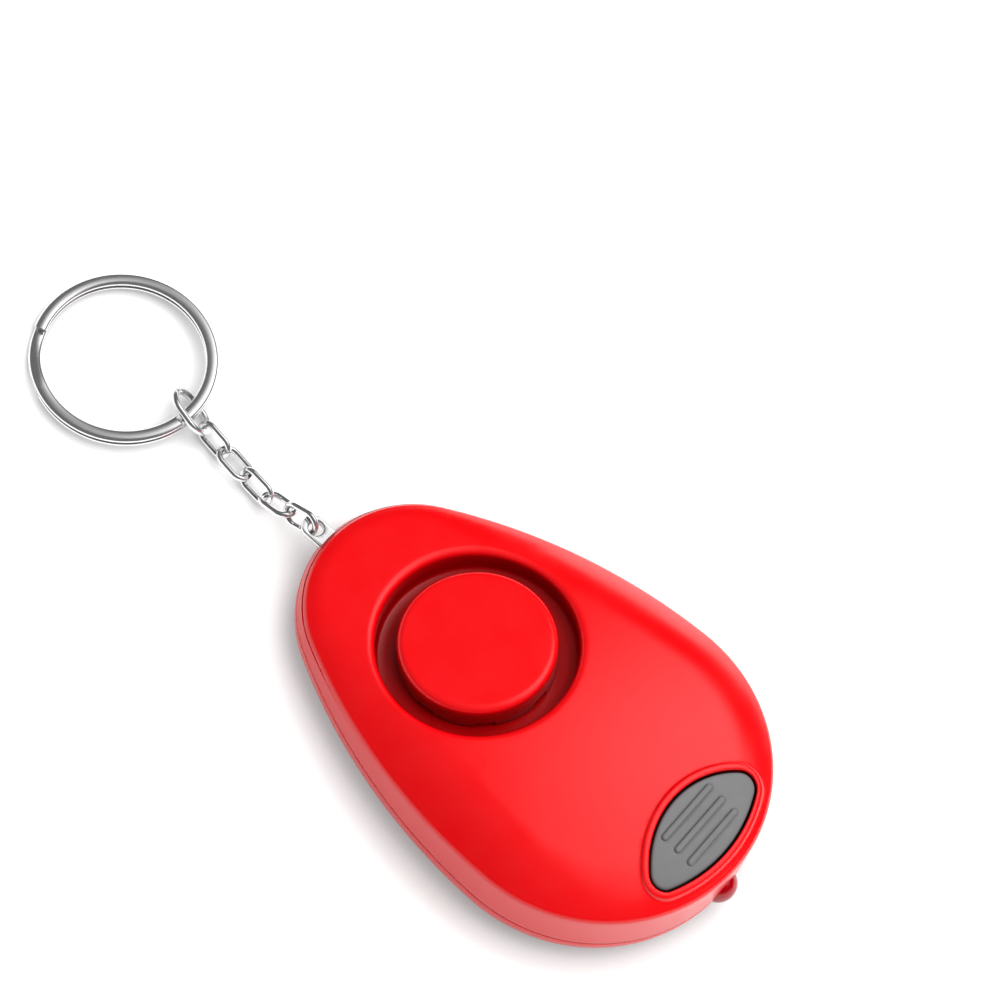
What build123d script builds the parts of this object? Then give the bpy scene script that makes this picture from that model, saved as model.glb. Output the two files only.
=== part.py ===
from build123d import *
from math import acos, atan2, cos, degrees, hypot, radians, sin, sqrt, tan
import os

# Personal safety alarm, in millimetres. The origin is at the middle of the flat back face,
# +X points to the lamp, -X to the pull pin and its chain, and +Z up through the siren disc.

os.makedirs("parts", exist_ok=True)

# Case outline: an egg of two end arcs and two side arcs
case_length = 68.0
narrow_end_radius = 15.6
broad_end_radius = 23.1
case_side_radius = 77.5

# Case heights, dome and walls
seam_height = 5.7
seam_gap = 0.1
case_height = 16.75
dome_apex_share = 0.203
dome_drop_share = 0.123
dome_cross_radius = 111.0
dome_end_angle = 22.0
nose_tip_share = 0.4872
crease_share = 0.6328
crease_rise_share = 0.3716
crease_inset = 0.6
roll_height = 6.5
roll_draft = 48.0
roll_radius = 2.4
back_round = 4.5
cover_wall = 1.6
floor_wall = 1.5
lip_height = 1.2
lip_width = 0.9
lip_step = 0.6
fit_gap = 0.12

# Siren recess and disc, square to the sloping nose of the dome
siren_share = -0.1468
recess_radius = 13.0
recess_depth = 4.4
recess_lip_radius = 1.1
recess_wall = 1.4
recess_floor = 1.2
disc_radius = 10.3
disc_drop = 0.1
disc_edge_radius = 1.0
disc_wall = 1.2
disc_pin_radius = 1.5
notch_count = 8
notch_width = 2.6
notch_height = 1.0
sound_hole_count = 6
sound_hole_radius = 1.1
sound_hole_circle_radius = 6.0

# Sounder under the recess floor
gasket_thickness = 0.6
gasket_width = 1.2
plate_radius = 11.0
plate_thickness = 0.3
ceramic_radius = 7.5
ceramic_thickness = 0.25
plate_rim_wall = 1.1
plate_rim_height = 1.4

# Light button: a leaf of two arcs with a raised rim round it
leaf_end_inset = 3.1
leaf_length = 8.9
leaf_left_radius = 12.8
leaf_right_radius = 20.0
leaf_tip_radius = 1.9
button_gap = 0.25
button_proud = 0.15
button_travel = 0.5
button_foot_height = 12.2
flange_width = 0.8
rim_width = 0.95
rim_proud = 0.4
rib_count = 3
rib_inset = 2.2
rib_spacing = 2.2
rib_length = 9.8
rib_width = 0.85
rib_proud = 0.25

# Lamp in the broad end wall
lamp_radius = 2.5
lamp_proud = 1.4
lamp_length = 8.4
lamp_height = 5.5
lamp_flange_radius = 2.9
lamp_flange_length = 1.0
lead_radius = 0.25
lead_spread = 1.27
lead_reach = 1.25
lead_bend_radius = 0.6
lead_tail = 0.6
lamp_rest_inset = 5.3
lamp_rest_width = 6.4
lamp_rest_thickness = 1.2

# Pull pin
pin_width = 3.2
pin_thickness = 1.2
pin_proud = 3.75
pin_depth = 8.8
pin_taper_length = 3.0
pin_tip_thickness = 0.5
pin_eye_radius = 1.0
pin_eye_wall = 0.95
pin_tip_radius = 0.8

# Chain, jump ring and key ring
link_count = 5
link_length = 6.0
link_width = 3.8
link_wire = 0.85
link_gap = 0.1
link_lean = 22.0
link_slopes = (26.0, 26.0, 2.0, 1.0, 0.0)
link_headings = (0.0, 6.0, 6.0, 8.0, 8.0)
jump_length = 7.5
jump_width = 5.9
jump_wire = 1.0
jump_lean = 45.0
jump_slope = -15.0
jump_heading = 8.0
ring_radius = 12.5
ring_band = 1.8
ring_turn_height = 0.96
ring_turn_gap = 0.06
ring_corner_radius = 0.35
ring_lean_angle = 4.0
ring_heading_angle = -2.0
ring_ramp_angle = 40.0
ring_ramp_steps = 4
ring_end_angle = 3.0
ring_start_angle = 20.0

# Circuit board and what stands on it
board_height = 3.0
board_thickness = 0.8
board_inset = 4.2
board_end_inset = 7.4
board_gap = 0.3
front_post_share = -0.2059
rear_post_inset = 15.4
rear_post_edge = 9.2
board_post_radius = 1.9
board_screw_radius = 0.75
board_screw_length = 3.0
board_screw_head_radius = 1.5
board_screw_head_height = 0.9
switch_inset = 1.0
switch_width = 4.5
switch_body_height = 3.0
plunger_radius = 1.2
plunger_height = 1.5
plunger_depth = 0.5
switch_bore_floor = 0.3
stem_radius = 1.3
chip_side = 8.0
chip_length = 5.0
chip_width = 3.9
chip_height = 1.45
chip_lift = 0.1
chip_leg_count = 4
chip_leg_pitch = 1.27
chip_leg_width = 0.4
chip_leg_reach = 1.0
chip_leg_height = 0.8
coil_place_share = -0.0147
coil_edge = 8.55
coil_radius = 2.8
coil_core_radius = 1.2
coil_height = 4.5
coil_flange = 0.7
winding_radius = 2.4
transistor_x = 0.0
transistor_edge = 8.4
transistor_radius = 2.3
transistor_flat = 1.4
transistor_height = 4.4
transistor_lift = 0.9
transistor_leg_count = 3
transistor_leg_radius = 0.25
capacitor_gap = 2.8
capacitor_side = 7.6
capacitor_radius = 2.5
capacitor_height = 6.4
capacitor_edge_radius = 0.4
resistor_count = 5
resistor_reach = 2.0
resistor_side = 8.6
resistor_gap = 1.6
resistor_length = 1.6
resistor_width = 0.8
resistor_height = 0.5

# Button cells in a row across the case
cell_count = 3
cell_share = 0.1603
cell_radius = 5.8
cell_thickness = 5.4
cell_cap_radius = 4.9
cell_cap_height = 0.6
cell_gap = 0.05
cell_lift = 0.4
cradle_height = 3.0
cradle_thickness = 1.2
cradle_inset = 3.65
cradle_reach = 6.5
cradle_gap = 0.1
window_reach = 6.9
plate_contact_width = 8.0
plate_contact_height = 8.2
plate_contact_thickness = 0.3
plate_contact_foot = 2.2

# Pin switch
contact_tip_gap = 1.4
contact_width = 1.5
contact_thickness = 0.2
contact_gap = 0.1
contact_hinge_y = 5.2
contact_root = 1.1
contact_arm = 7.4
post_width = 1.2
fixed_contact_reach = 0.9
fixed_contact_foot = 1.4

# Wires from the board to the sounder, each end's X from the siren or the cells
wire_radius = 0.35
wire_rise_share = 0.4
wire_bend_share = 0.6
wire_end_gap = 0.12
red_wire_foot = (9.0, -6.5)
red_wire_head = (4.0, -3.0)
black_wire_foot = (-7.5, -7.5)
black_wire_head = (9.4, -4.5)

# Case screws
front_screw_inset = 11.0
front_screw_edge = 7.2
rear_screw_share = 0.1176
rear_screw_edge = 7.1
case_boss_radius = 2.3
case_boss_foot = 2.8
case_screw_radius = 1.0
case_screw_length = 6.4
case_screw_gap = 0.06
screw_head_radius = 1.95
screw_head_height = 1.0
screw_sink = 1.2
screw_recess_radius = 2.15
screw_cross_length = 2.2
screw_cross_width = 0.5
screw_cross_depth = 0.5

# Cuts run past the faces they open by this much
overrun = 1.0

# Dome arc and straight nose, from the heights of the apex and both ends
broad_tip_x = case_length / 2
narrow_tip_x = -case_length / 2
dome_apex_x = dome_apex_share * case_length
dome_reach = broad_tip_x - dome_apex_x
dome_drop = dome_drop_share * case_height
dome_long_radius = (dome_reach**2 + dome_drop**2) / (2 * dome_drop)
nose_run = dome_apex_x - narrow_tip_x
nose_rise = dome_long_radius + (nose_tip_share - 1) * case_height
nose_lean = atan2(nose_run, nose_rise) - acos(dome_long_radius / hypot(nose_run, nose_rise))
nose_slope = degrees(nose_lean)
crease_height = crease_share * case_height
crease_slope = degrees(atan2(crease_rise_share * case_height, case_length))

# Places that follow the case's length
siren_x = siren_share * case_length
leaf_right_x = broad_tip_x - leaf_end_inset
leaf_left_x = leaf_right_x - leaf_length
rib_first_x = leaf_left_x + rib_inset
switch_x = leaf_left_x + switch_inset
lamp_tip_x = broad_tip_x + lamp_proud
lamp_base_x = lamp_tip_x - lamp_length
lead_bend_x = lamp_base_x - lead_reach
lamp_rest_x = broad_tip_x - lamp_rest_inset
pin_end_x = narrow_tip_x - pin_proud
pin_tip_x = narrow_tip_x + pin_depth
contact_x = pin_tip_x - contact_tip_gap
board_end_x = broad_tip_x - board_end_inset
cell_x = cell_share * case_length
capacitor_x = cell_x + cell_radius + capacitor_gap + capacitor_radius
switch_bore_depth = plunger_depth + button_travel + switch_bore_floor


def egg_face(inset):
    """Egg-shaped face about the origin, drawn in by an inset."""
    narrow = Vector(narrow_end_radius - case_length / 2, 0)
    broad = Vector(case_length / 2 - broad_end_radius, 0)
    span = broad.X - narrow.X
    narrow_arm = case_side_radius - narrow_end_radius
    broad_arm = case_side_radius - broad_end_radius
    reach = (narrow_arm**2 - broad_arm**2 + span**2) / (2 * span)
    side = Vector(narrow.X + reach, -sqrt(narrow_arm**2 - reach**2))
    narrow_turn = (narrow - side).normalized()
    broad_turn = (broad - side).normalized()
    with BuildSketch() as egg:
        with BuildLine():
            broad_arc = ThreePointArc(
                (case_length / 2 - inset, 0),
                broad + (broad_turn + Vector(1, 0)).normalized() * (broad_end_radius - inset),
                broad + broad_turn * (broad_end_radius - inset),
            )
            side_arc = ThreePointArc(
                broad_arc @ 1,
                side + (narrow_turn + broad_turn).normalized() * (case_side_radius - inset),
                narrow + narrow_turn * (narrow_end_radius - inset),
            )
            ThreePointArc(
                side_arc @ 1,
                narrow + (narrow_turn + Vector(-1, 0)).normalized() * (narrow_end_radius - inset),
                (inset - case_length / 2, 0),
            )
            mirror(about=Plane.XZ)
        make_face()
    return egg.sketch


def half_width(x):
    """Half the case's width at a place along it."""
    narrow_x = narrow_end_radius - case_length / 2
    broad_x = case_length / 2 - broad_end_radius
    narrow_arm = case_side_radius - narrow_end_radius
    broad_arm = case_side_radius - broad_end_radius
    span = broad_x - narrow_x
    reach = (narrow_arm**2 - broad_arm**2 + span**2) / (2 * span)
    side_x = narrow_x + reach
    side_y = -sqrt(narrow_arm**2 - reach**2)
    if x < side_x + (narrow_x - side_x) * case_side_radius / narrow_arm:
        return sqrt(narrow_end_radius**2 - (x - narrow_x) ** 2)
    if x > side_x + (broad_x - side_x) * case_side_radius / broad_arm:
        return sqrt(broad_end_radius**2 - (x - broad_x) ** 2)
    return side_y + sqrt(case_side_radius**2 - (x - side_x) ** 2)


def leaf_face(grow):
    """Leaf-shaped face of the light button, grown by an amount all round."""
    with BuildSketch() as leaf:
        with Locations((leaf_left_x + leaf_left_radius, 0)):
            Circle(leaf_left_radius + grow)
        with Locations((leaf_right_x - leaf_right_radius, 0)):
            Circle(leaf_right_radius + grow, mode=Mode.INTERSECT)
        fillet(leaf.vertices(), leaf_tip_radius + grow)
    return leaf.sketch


def crease_plane(wall, lift):
    """Plane of the sloping crease, lowered inside a wall and raised by a lift."""
    return Plane(
        origin=(0, 0, crease_height + lift - wall * tan(radians(roll_draft / 2))),
        x_dir=(cos(radians(crease_slope)), 0, sin(radians(crease_slope))),
        z_dir=(-sin(radians(crease_slope)), 0, cos(radians(crease_slope))),
    )


def top_form(wall, lift):
    """Solid under the dome from the seam up, inside a wall and raised by a lift."""
    crease = crease_plane(wall, lift)
    axis_height = case_height + lift - dome_cross_radius
    arc_radius = dome_long_radius - wall
    arc_height = case_height + lift - dome_long_radius
    bend = Vector(
        dome_apex_x - arc_radius * sin(radians(nose_slope)),
        arc_height + arc_radius * cos(radians(nose_slope)),
    )
    end = Vector(
        dome_apex_x + arc_radius * sin(radians(dome_end_angle)),
        arc_height + arc_radius * cos(radians(dome_end_angle)),
    )
    tail = bend - Vector(case_length, case_length * tan(radians(nose_slope)))
    with BuildPart() as form:
        with BuildSketch(Plane.XY.offset(seam_height)):
            add(egg_face(wall))
        with BuildSketch(crease):
            add(egg_face(crease_inset + wall))
        with BuildSketch(crease.offset(roll_height)):
            add(egg_face(crease_inset + wall + roll_height * tan(radians(roll_draft))))
        loft(ruled=True)
        with BuildSketch(Plane.XZ):
            with BuildLine():
                Line(tail, bend)
                ThreePointArc(bend, (dome_apex_x, arc_height + arc_radius), end)
                Polyline(end, (end.X, axis_height), (tail.X, axis_height), tail)
            make_face()
        revolve(axis=Axis((0, 0, axis_height), (1, 0, 0)), mode=Mode.INTERSECT)
    return form.part


def dome_height(x):
    """Height of the dome above the long axis at a place on its sloping nose."""
    bend_x = dome_apex_x - dome_long_radius * sin(radians(nose_slope))
    bend_height = case_height - dome_long_radius * (1 - cos(radians(nose_slope)))
    return bend_height + (x - bend_x) * tan(radians(nose_slope))


def direction(slope, heading):
    """Unit vector away from the case, sloping down and turned in plan."""
    return Vector(
        -cos(radians(slope)) * cos(radians(heading)),
        cos(radians(slope)) * sin(radians(heading)),
        -sin(radians(slope)),
    )


def leaning_plane(centre, along, lean):
    """Plane of a link, through its centre and along the chain, leaning about the chain."""
    level = along.cross(Vector(0, 0, 1)).normalized()
    upright = level.cross(along).normalized()
    normal = upright * cos(radians(lean)) + level * sin(radians(lean))
    return Plane(origin=centre, x_dir=along, z_dir=normal)


def oval_link(plane, length, width, wire):
    """Closed oval of round wire lying in a plane."""
    bend = (width - wire) / 2
    reach = (length - width) / 2
    with BuildPart() as link:
        with BuildLine(plane) as path:
            near_side = Line((-reach, -bend), (reach, -bend))
            far_end = ThreePointArc(near_side @ 1, (reach + bend, 0), (reach, bend))
            far_side = Line(far_end @ 1, (-reach, bend))
            ThreePointArc(far_side @ 1, (-reach - bend, 0), near_side @ 0)
        with BuildSketch(Plane(origin=path.line @ 0, z_dir=path.line % 0)):
            Circle(wire / 2)
        sweep()
    return link.part


def sounder_height(x, depth):
    """Height of a plane under the recess, at a depth along the siren's axis."""
    origin = siren_plane.offset(-depth).origin
    return origin.Z + (x - origin.X) * tan(radians(nose_slope))


def sounder_wire(start, end, depth):
    """Wire that rises from the board, crosses over and rises to the sounder."""
    head_height = sounder_height(end[0], depth) - wire_end_gap
    rise = (head_height - board_top) * wire_rise_share
    with BuildPart() as wire:
        with BuildLine() as path:
            FilletPolyline(
                (*start, board_top),
                (*start, board_top + rise),
                (*end, board_top + rise),
                (*end, head_height),
                radius=rise * wire_bend_share,
            )
        with BuildSketch(Plane(origin=path.line @ 0, z_dir=path.line % 0)):
            Circle(wire_radius)
        sweep()
    return wire.part


def pair(x, edge):
    """Two places either side of the long axis, in from the case's edge."""
    return [(x, side * (half_width(x) - edge)) for side in (1, -1)]


case_screw_places = [
    *pair(narrow_tip_x + front_screw_inset, front_screw_edge),
    *pair(rear_screw_share * case_length, rear_screw_edge),
]
board_screw_places = [
    (front_post_share * case_length, 0),
    *pair(broad_tip_x - rear_post_inset, rear_post_edge),
]
siren_plane = Plane(
    origin=(siren_x, 0, dome_height(siren_x)),
    x_dir=(cos(radians(nose_slope)), 0, sin(radians(nose_slope))),
    z_dir=(-sin(radians(nose_slope)), 0, cos(radians(nose_slope))),
)
floor_depth = recess_depth + recess_floor
plate_depth = floor_depth + gasket_thickness
ceramic_depth = plate_depth + plate_thickness
board_top = board_height + board_thickness
row_length = cell_count * (cell_thickness + cell_gap) - cell_gap
cradle_spacing = row_length - 2 * cradle_inset
back_top = seam_height - seam_gap
lip_inset = cover_wall + fit_gap
boss_depth = seam_height - case_boss_foot
pin_bottom = seam_height - pin_thickness / 2
pin_top = seam_height + pin_thickness / 2

# Top cover: dome, side band, siren recess and light button opening in one moulding
with BuildPart() as top_hollow:
    add(top_form(cover_wall, 0))
    with BuildSketch(siren_plane.offset(-floor_depth)):
        Circle(recess_radius + recess_wall)
    extrude(amount=floor_depth + recess_wall, mode=Mode.SUBTRACT)
    with BuildSketch(siren_plane.offset(-floor_depth)):
        Circle(plate_radius + fit_gap + plate_rim_wall)
        Circle(plate_radius + fit_gap, mode=Mode.SUBTRACT)
    extrude(amount=-plate_rim_height, mode=Mode.SUBTRACT)
    with BuildSketch(Plane.XY.offset(seam_height)):
        with Locations(case_screw_places):
            Circle(case_boss_radius)
    extrude(amount=case_height, mode=Mode.SUBTRACT)

with BuildPart() as top_cover:
    add(top_form(0, 0))
    crease = crease_plane(0, 0)
    roll_edges = top_cover.edges().filter_by(
        lambda edge: min(crease.to_local_coords(corner.center()).Z for corner in edge.vertices()) > fit_gap
        and edge.bounding_box().size.X > crease_inset
    )
    fillet(roll_edges, roll_radius)
    with BuildPart(mode=Mode.PRIVATE) as button_rim:
        add(top_form(0, rim_proud))
        with BuildSketch():
            add(leaf_face(button_gap + rim_width))
        extrude(amount=case_height + overrun, mode=Mode.INTERSECT)
    add(button_rim.part)
    with BuildSketch(siren_plane.offset(overrun)):
        Circle(recess_radius)
    extrude(amount=-recess_depth - overrun, mode=Mode.SUBTRACT)
    lip_edges = top_cover.edges(Select.LAST).filter_by(
        lambda edge: min(siren_plane.to_local_coords(edge @ end).Z for end in (0, 1))
        > -recess_depth / 2
    )
    fillet(lip_edges, recess_lip_radius)
    add(top_hollow.part, mode=Mode.SUBTRACT)
    with BuildSketch():
        add(leaf_face(button_gap))
    extrude(amount=case_height + overrun, mode=Mode.SUBTRACT)
    with BuildSketch(siren_plane.offset(-recess_depth + overrun)):
        Circle(disc_pin_radius + fit_gap)
        with PolarLocations(sound_hole_circle_radius, sound_hole_count):
            Circle(sound_hole_radius)
    extrude(amount=-recess_floor - 2 * overrun, mode=Mode.SUBTRACT)
    with BuildSketch(Plane.XY.offset(case_boss_foot)):
        with Locations(case_screw_places):
            Circle(case_boss_radius)
    extrude(amount=boss_depth)
    with BuildSketch(Plane.XY.offset(case_boss_foot)):
        with Locations(case_screw_places):
            Circle(case_screw_radius + case_screw_gap)
    extrude(amount=case_screw_length - screw_head_height, mode=Mode.SUBTRACT)

# Back cover: shallow shell with a flat back, board posts, cell cradle and lamp rest
with BuildPart() as back_cover:
    with BuildSketch():
        add(egg_face(0))
    extrude(amount=back_top)
    fillet(back_cover.faces().sort_by(Axis.Z)[0].edges(), back_round)
    with BuildPart(mode=Mode.PRIVATE) as back_hollow:
        with BuildSketch(Plane.XY.offset(floor_wall)):
            add(egg_face(cover_wall))
        extrude(amount=back_top)
        fillet(back_hollow.faces().sort_by(Axis.Z)[0].edges(), back_round - cover_wall)
    add(back_hollow.part, mode=Mode.SUBTRACT)
    with BuildSketch(Plane.XY.offset(back_top - lip_height)):
        add(egg_face(cover_wall))
        add(egg_face(lip_inset + lip_width), mode=Mode.SUBTRACT)
    extrude(amount=lip_height)
    with BuildSketch(Plane.XY.offset(back_top)):
        add(egg_face(lip_inset + lip_step))
        add(egg_face(lip_inset + lip_step + lip_width), mode=Mode.SUBTRACT)
    extrude(amount=lip_height)
    with BuildSketch(Plane.XY.offset(floor_wall)):
        with Locations(board_screw_places):
            Circle(board_post_radius)
    extrude(amount=board_height - floor_wall)
    with BuildSketch(Plane.XY.offset(floor_wall)):
        with Locations(case_screw_places):
            Circle(case_boss_radius)
    extrude(amount=case_boss_foot - floor_wall - fit_gap)
    with BuildSketch(Plane.XY.offset(floor_wall)):
        with Locations((cell_x, 0)):
            with GridLocations(0, cradle_spacing, 1, 2):
                Rectangle(2 * cradle_reach, cradle_thickness)
        with Locations((lamp_rest_x, 0)):
            Rectangle(lamp_rest_thickness, lamp_rest_width)
    extrude(amount=cradle_height)
    with BuildSketch(Plane.XZ):
        with Locations((cell_x, floor_wall + cell_lift + cell_radius)):
            Circle(cell_radius + cradle_gap)
    extrude(amount=cradle_spacing / 2 + cradle_thickness, both=True, mode=Mode.SUBTRACT)
    with BuildSketch(Plane.YZ.offset(lamp_rest_x)):
        with Locations((0, lamp_height)):
            Circle(lamp_radius + cradle_gap)
    extrude(amount=lamp_rest_thickness, both=True, mode=Mode.SUBTRACT)
    with BuildSketch(Plane.XY.offset(board_height)):
        with Locations(board_screw_places):
            Circle(board_screw_radius + case_screw_gap)
    extrude(amount=board_thickness - board_screw_length - case_screw_gap, mode=Mode.SUBTRACT)
    with BuildSketch(Plane.XY.offset(-overrun)):
        with Locations(case_screw_places):
            Circle(case_screw_radius + case_screw_gap)
    extrude(amount=case_boss_foot + overrun, mode=Mode.SUBTRACT)
    with BuildSketch():
        with Locations(case_screw_places):
            Circle(screw_recess_radius)
    extrude(amount=screw_sink, mode=Mode.SUBTRACT)

# Where both covers meet, the pin's slot and the lamp's hole are cut half from each
with BuildPart() as wall_openings:
    with BuildSketch(Plane.YZ.offset(narrow_tip_x - overrun)):
        with Locations((0, seam_height)):
            Rectangle(pin_width + 2 * fit_gap, pin_thickness + 2 * fit_gap)
    extrude(amount=cover_wall + lip_inset + lip_step + lip_width + 2 * overrun)
    with BuildSketch(Plane.YZ.offset(broad_tip_x + overrun)):
        with Locations((0, lamp_height)):
            Circle(lamp_radius + fit_gap)
    extrude(amount=lamp_base_x + lamp_flange_length - broad_tip_x - 2 * overrun)
with BuildPart() as top_cover_cut:
    add(top_cover.part)
    add(wall_openings.part, mode=Mode.SUBTRACT)
with BuildPart() as back_cover_cut:
    add(back_cover.part)
    add(wall_openings.part, mode=Mode.SUBTRACT)
top_cover_cut.part.label = "top_cover"
export_step(top_cover_cut.part, "parts/top_cover.step")
back_cover_cut.part.label = "back_cover"
export_step(back_cover_cut.part, "parts/back_cover.step")

# Siren disc: a cap on the recess floor, notched at its foot to let the sound out
with BuildPart() as siren_cap:
    with BuildSketch(siren_plane.offset(-recess_depth)):
        Circle(disc_radius)
    extrude(amount=recess_depth - disc_drop)
    fillet(siren_cap.edges().sort_by(Axis(siren_plane.origin, siren_plane.z_dir))[-1], disc_edge_radius)
    with BuildSketch(siren_plane.offset(-recess_depth)):
        Circle(disc_radius - disc_wall)
        Circle(disc_pin_radius, mode=Mode.SUBTRACT)
    extrude(amount=recess_depth - disc_drop - disc_wall, mode=Mode.SUBTRACT)
    with BuildSketch(siren_plane.offset(-recess_depth)):
        with PolarLocations(disc_radius, notch_count):
            Rectangle(2 * disc_wall + overrun, notch_width)
    extrude(amount=notch_height, mode=Mode.SUBTRACT)
    with BuildSketch(siren_plane.offset(-floor_depth)):
        Circle(disc_pin_radius)
    extrude(amount=recess_floor)
siren_cap.part.label = "siren_cap"
export_step(siren_cap.part, "parts/siren_cap.step")

# Sounder: soft ring, brass plate and ceramic disc
with BuildPart() as piezo_gasket:
    with BuildSketch(siren_plane.offset(-floor_depth)):
        Circle(plate_radius)
        Circle(plate_radius - gasket_width, mode=Mode.SUBTRACT)
    extrude(amount=-gasket_thickness)
piezo_gasket.part.label = "piezo_gasket"
export_step(piezo_gasket.part, "parts/piezo_gasket.step")

with BuildPart() as piezo_plate:
    with BuildSketch(siren_plane.offset(-plate_depth)):
        Circle(plate_radius)
    extrude(amount=-plate_thickness)
piezo_plate.part.label = "piezo_plate"
export_step(piezo_plate.part, "parts/piezo_plate.step")

with BuildPart() as piezo_ceramic:
    with BuildSketch(siren_plane.offset(-ceramic_depth)):
        Circle(ceramic_radius)
    extrude(amount=-ceramic_thickness)
piezo_ceramic.part.label = "piezo_ceramic"
export_step(piezo_ceramic.part, "parts/piezo_ceramic.step")

# Light button: crowned leaf with three ribs, a flange under the cover and a stem
with BuildPart() as button_ribs:
    add(top_form(0, button_proud + rib_proud))
    with BuildSketch():
        for number in range(rib_count):
            with Locations((rib_first_x + number * rib_spacing, 0)):
                SlotOverall(rib_length, rib_width, rotation=90)
    extrude(amount=case_height + overrun, mode=Mode.INTERSECT)
    split(bisect_by=Plane.XY.offset(button_foot_height), keep=Keep.TOP)
with BuildPart() as button_flange:
    add(top_form(cover_wall + fit_gap, 0))
    with BuildSketch():
        add(leaf_face(flange_width))
    extrude(amount=case_height + overrun, mode=Mode.INTERSECT)
    split(bisect_by=Plane.XY.offset(button_foot_height), keep=Keep.TOP)
plunger_top = board_top + switch_body_height + plunger_height - plunger_depth
with BuildPart() as light_button:
    add(top_form(0, button_proud))
    with BuildSketch():
        add(leaf_face(0))
    extrude(amount=case_height + overrun, mode=Mode.INTERSECT)
    split(bisect_by=Plane.XY.offset(button_foot_height), keep=Keep.TOP)
    add(button_ribs.part)
    add(button_flange.part)
    with BuildSketch(Plane.XY.offset(button_foot_height)):
        with Locations((switch_x, 0)):
            Circle(stem_radius)
    extrude(amount=plunger_top - button_foot_height)
light_button.part.label = "light_button"
export_step(light_button.part, "parts/light_button.step")

# Switch under the light button
with BuildPart() as light_switch_body:
    with BuildSketch(Plane.XY.offset(board_top)):
        with Locations((switch_x, 0)):
            Rectangle(switch_width, switch_width)
    extrude(amount=switch_body_height)
    with BuildSketch(Plane.XY.offset(board_top + switch_body_height)):
        with Locations((switch_x, 0)):
            Circle(plunger_radius + fit_gap)
    extrude(amount=-switch_bore_depth, mode=Mode.SUBTRACT)
light_switch_body.part.label = "light_switch_body"
export_step(light_switch_body.part, "parts/light_switch_body.step")

with BuildPart() as light_switch_plunger:
    with BuildSketch(Plane.XY.offset(plunger_top)):
        with Locations((switch_x, 0)):
            Circle(plunger_radius)
    extrude(amount=-plunger_height)
light_switch_plunger.part.label = "light_switch_plunger"
export_step(light_switch_plunger.part, "parts/light_switch_plunger.step")

# Lamp with a domed nose and a flange at its base
with BuildPart() as led_lamp:
    with BuildSketch(Plane.XZ):
        with BuildLine():
            nose = Line(
                (lamp_base_x + lamp_flange_length, lamp_height + lamp_radius),
                (lamp_tip_x - lamp_radius, lamp_height + lamp_radius),
            )
            RadiusArc(nose @ 1, (lamp_tip_x, lamp_height), lamp_radius)
            Polyline(
                (lamp_tip_x, lamp_height),
                (lamp_base_x, lamp_height),
                (lamp_base_x, lamp_height + lamp_flange_radius),
                (lamp_base_x + lamp_flange_length, lamp_height + lamp_flange_radius),
                nose @ 0,
            )
        make_face()
    revolve(axis=Axis((0, 0, lamp_height), (1, 0, 0)))
led_lamp.part.label = "led_lamp"
export_step(led_lamp.part, "parts/led_lamp.step")

with BuildPart() as led_leads:
    with BuildLine() as lead_path:
        FilletPolyline(
            (lamp_base_x, lead_spread, lamp_height),
            (lead_bend_x, lead_spread, lamp_height),
            (lead_bend_x, lead_spread, board_height - lead_tail),
            radius=lead_bend_radius,
        )
    with BuildSketch(Plane(origin=lead_path.line @ 0, z_dir=lead_path.line % 0)):
        Circle(lead_radius)
    sweep()
    mirror(about=Plane.XZ)
led_leads.part.label = "led_leads"
export_step(led_leads.part, "parts/led_leads.step")

# Pull pin: flat tongue with an eye outside and a thinned tip between the contacts
with BuildPart() as pull_pin:
    with BuildSketch(Plane.XY.offset(pin_bottom)):
        pin_length = pin_tip_x - pin_end_x
        with Locations((pin_end_x + pin_length / 2, 0)):
            Rectangle(pin_length, pin_width)
        fillet(vertices().group_by(Axis.X)[0], pin_width / 2 - fit_gap)
        fillet(vertices().group_by(Axis.X)[-1], pin_tip_radius)
        with Locations((pin_end_x + pin_eye_wall + pin_eye_radius, 0)):
            Circle(pin_eye_radius, mode=Mode.SUBTRACT)
    extrude(amount=pin_thickness)
    with BuildSketch(Plane.XZ.offset(-pin_width)):
        with BuildLine():
            Polyline(
                (pin_tip_x - pin_taper_length, pin_top),
                (pin_tip_x, pin_bottom + pin_tip_thickness),
                (pin_tip_x, pin_top),
                close=True,
            )
        make_face()
    extrude(amount=2 * pin_width, mode=Mode.SUBTRACT)
pull_pin.part.label = "pull_pin"
export_step(pull_pin.part, "parts/pull_pin.step")

# Chain: each link hangs in the last, and its neighbours stand across it
link_reach = (link_length - link_wire) / 2
place = Vector(pin_end_x + pin_eye_wall / 2, 0, seam_height)
along = direction(link_slopes[0], link_headings[0])
place = place + along * (link_length - link_width) / 2
for number in range(link_count):
    across = 90 if number % 2 == 0 else 0
    chain_link = oval_link(leaning_plane(place, along, link_lean + across), link_length, link_width, link_wire)
    chain_link.label = f"chain_link_{number + 1}"
    export_step(chain_link, f"parts/{chain_link.label}.step")
    if number + 1 < link_count:
        onward = direction(link_slopes[number + 1], link_headings[number + 1])
        place = place + along * link_reach + onward * (link_reach - link_wire - link_gap)
        along = onward

jump_reach = (jump_length - jump_wire) / 2
onward = direction(jump_slope, jump_heading)
jump_centre = place + along * link_reach + onward * (jump_reach - (link_wire + jump_wire) / 2 - link_gap)
jump_ring = oval_link(leaning_plane(jump_centre, onward, jump_lean), jump_length, jump_width, jump_wire)
jump_ring.label = "jump_ring"
export_step(jump_ring, "parts/jump_ring.step")

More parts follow.
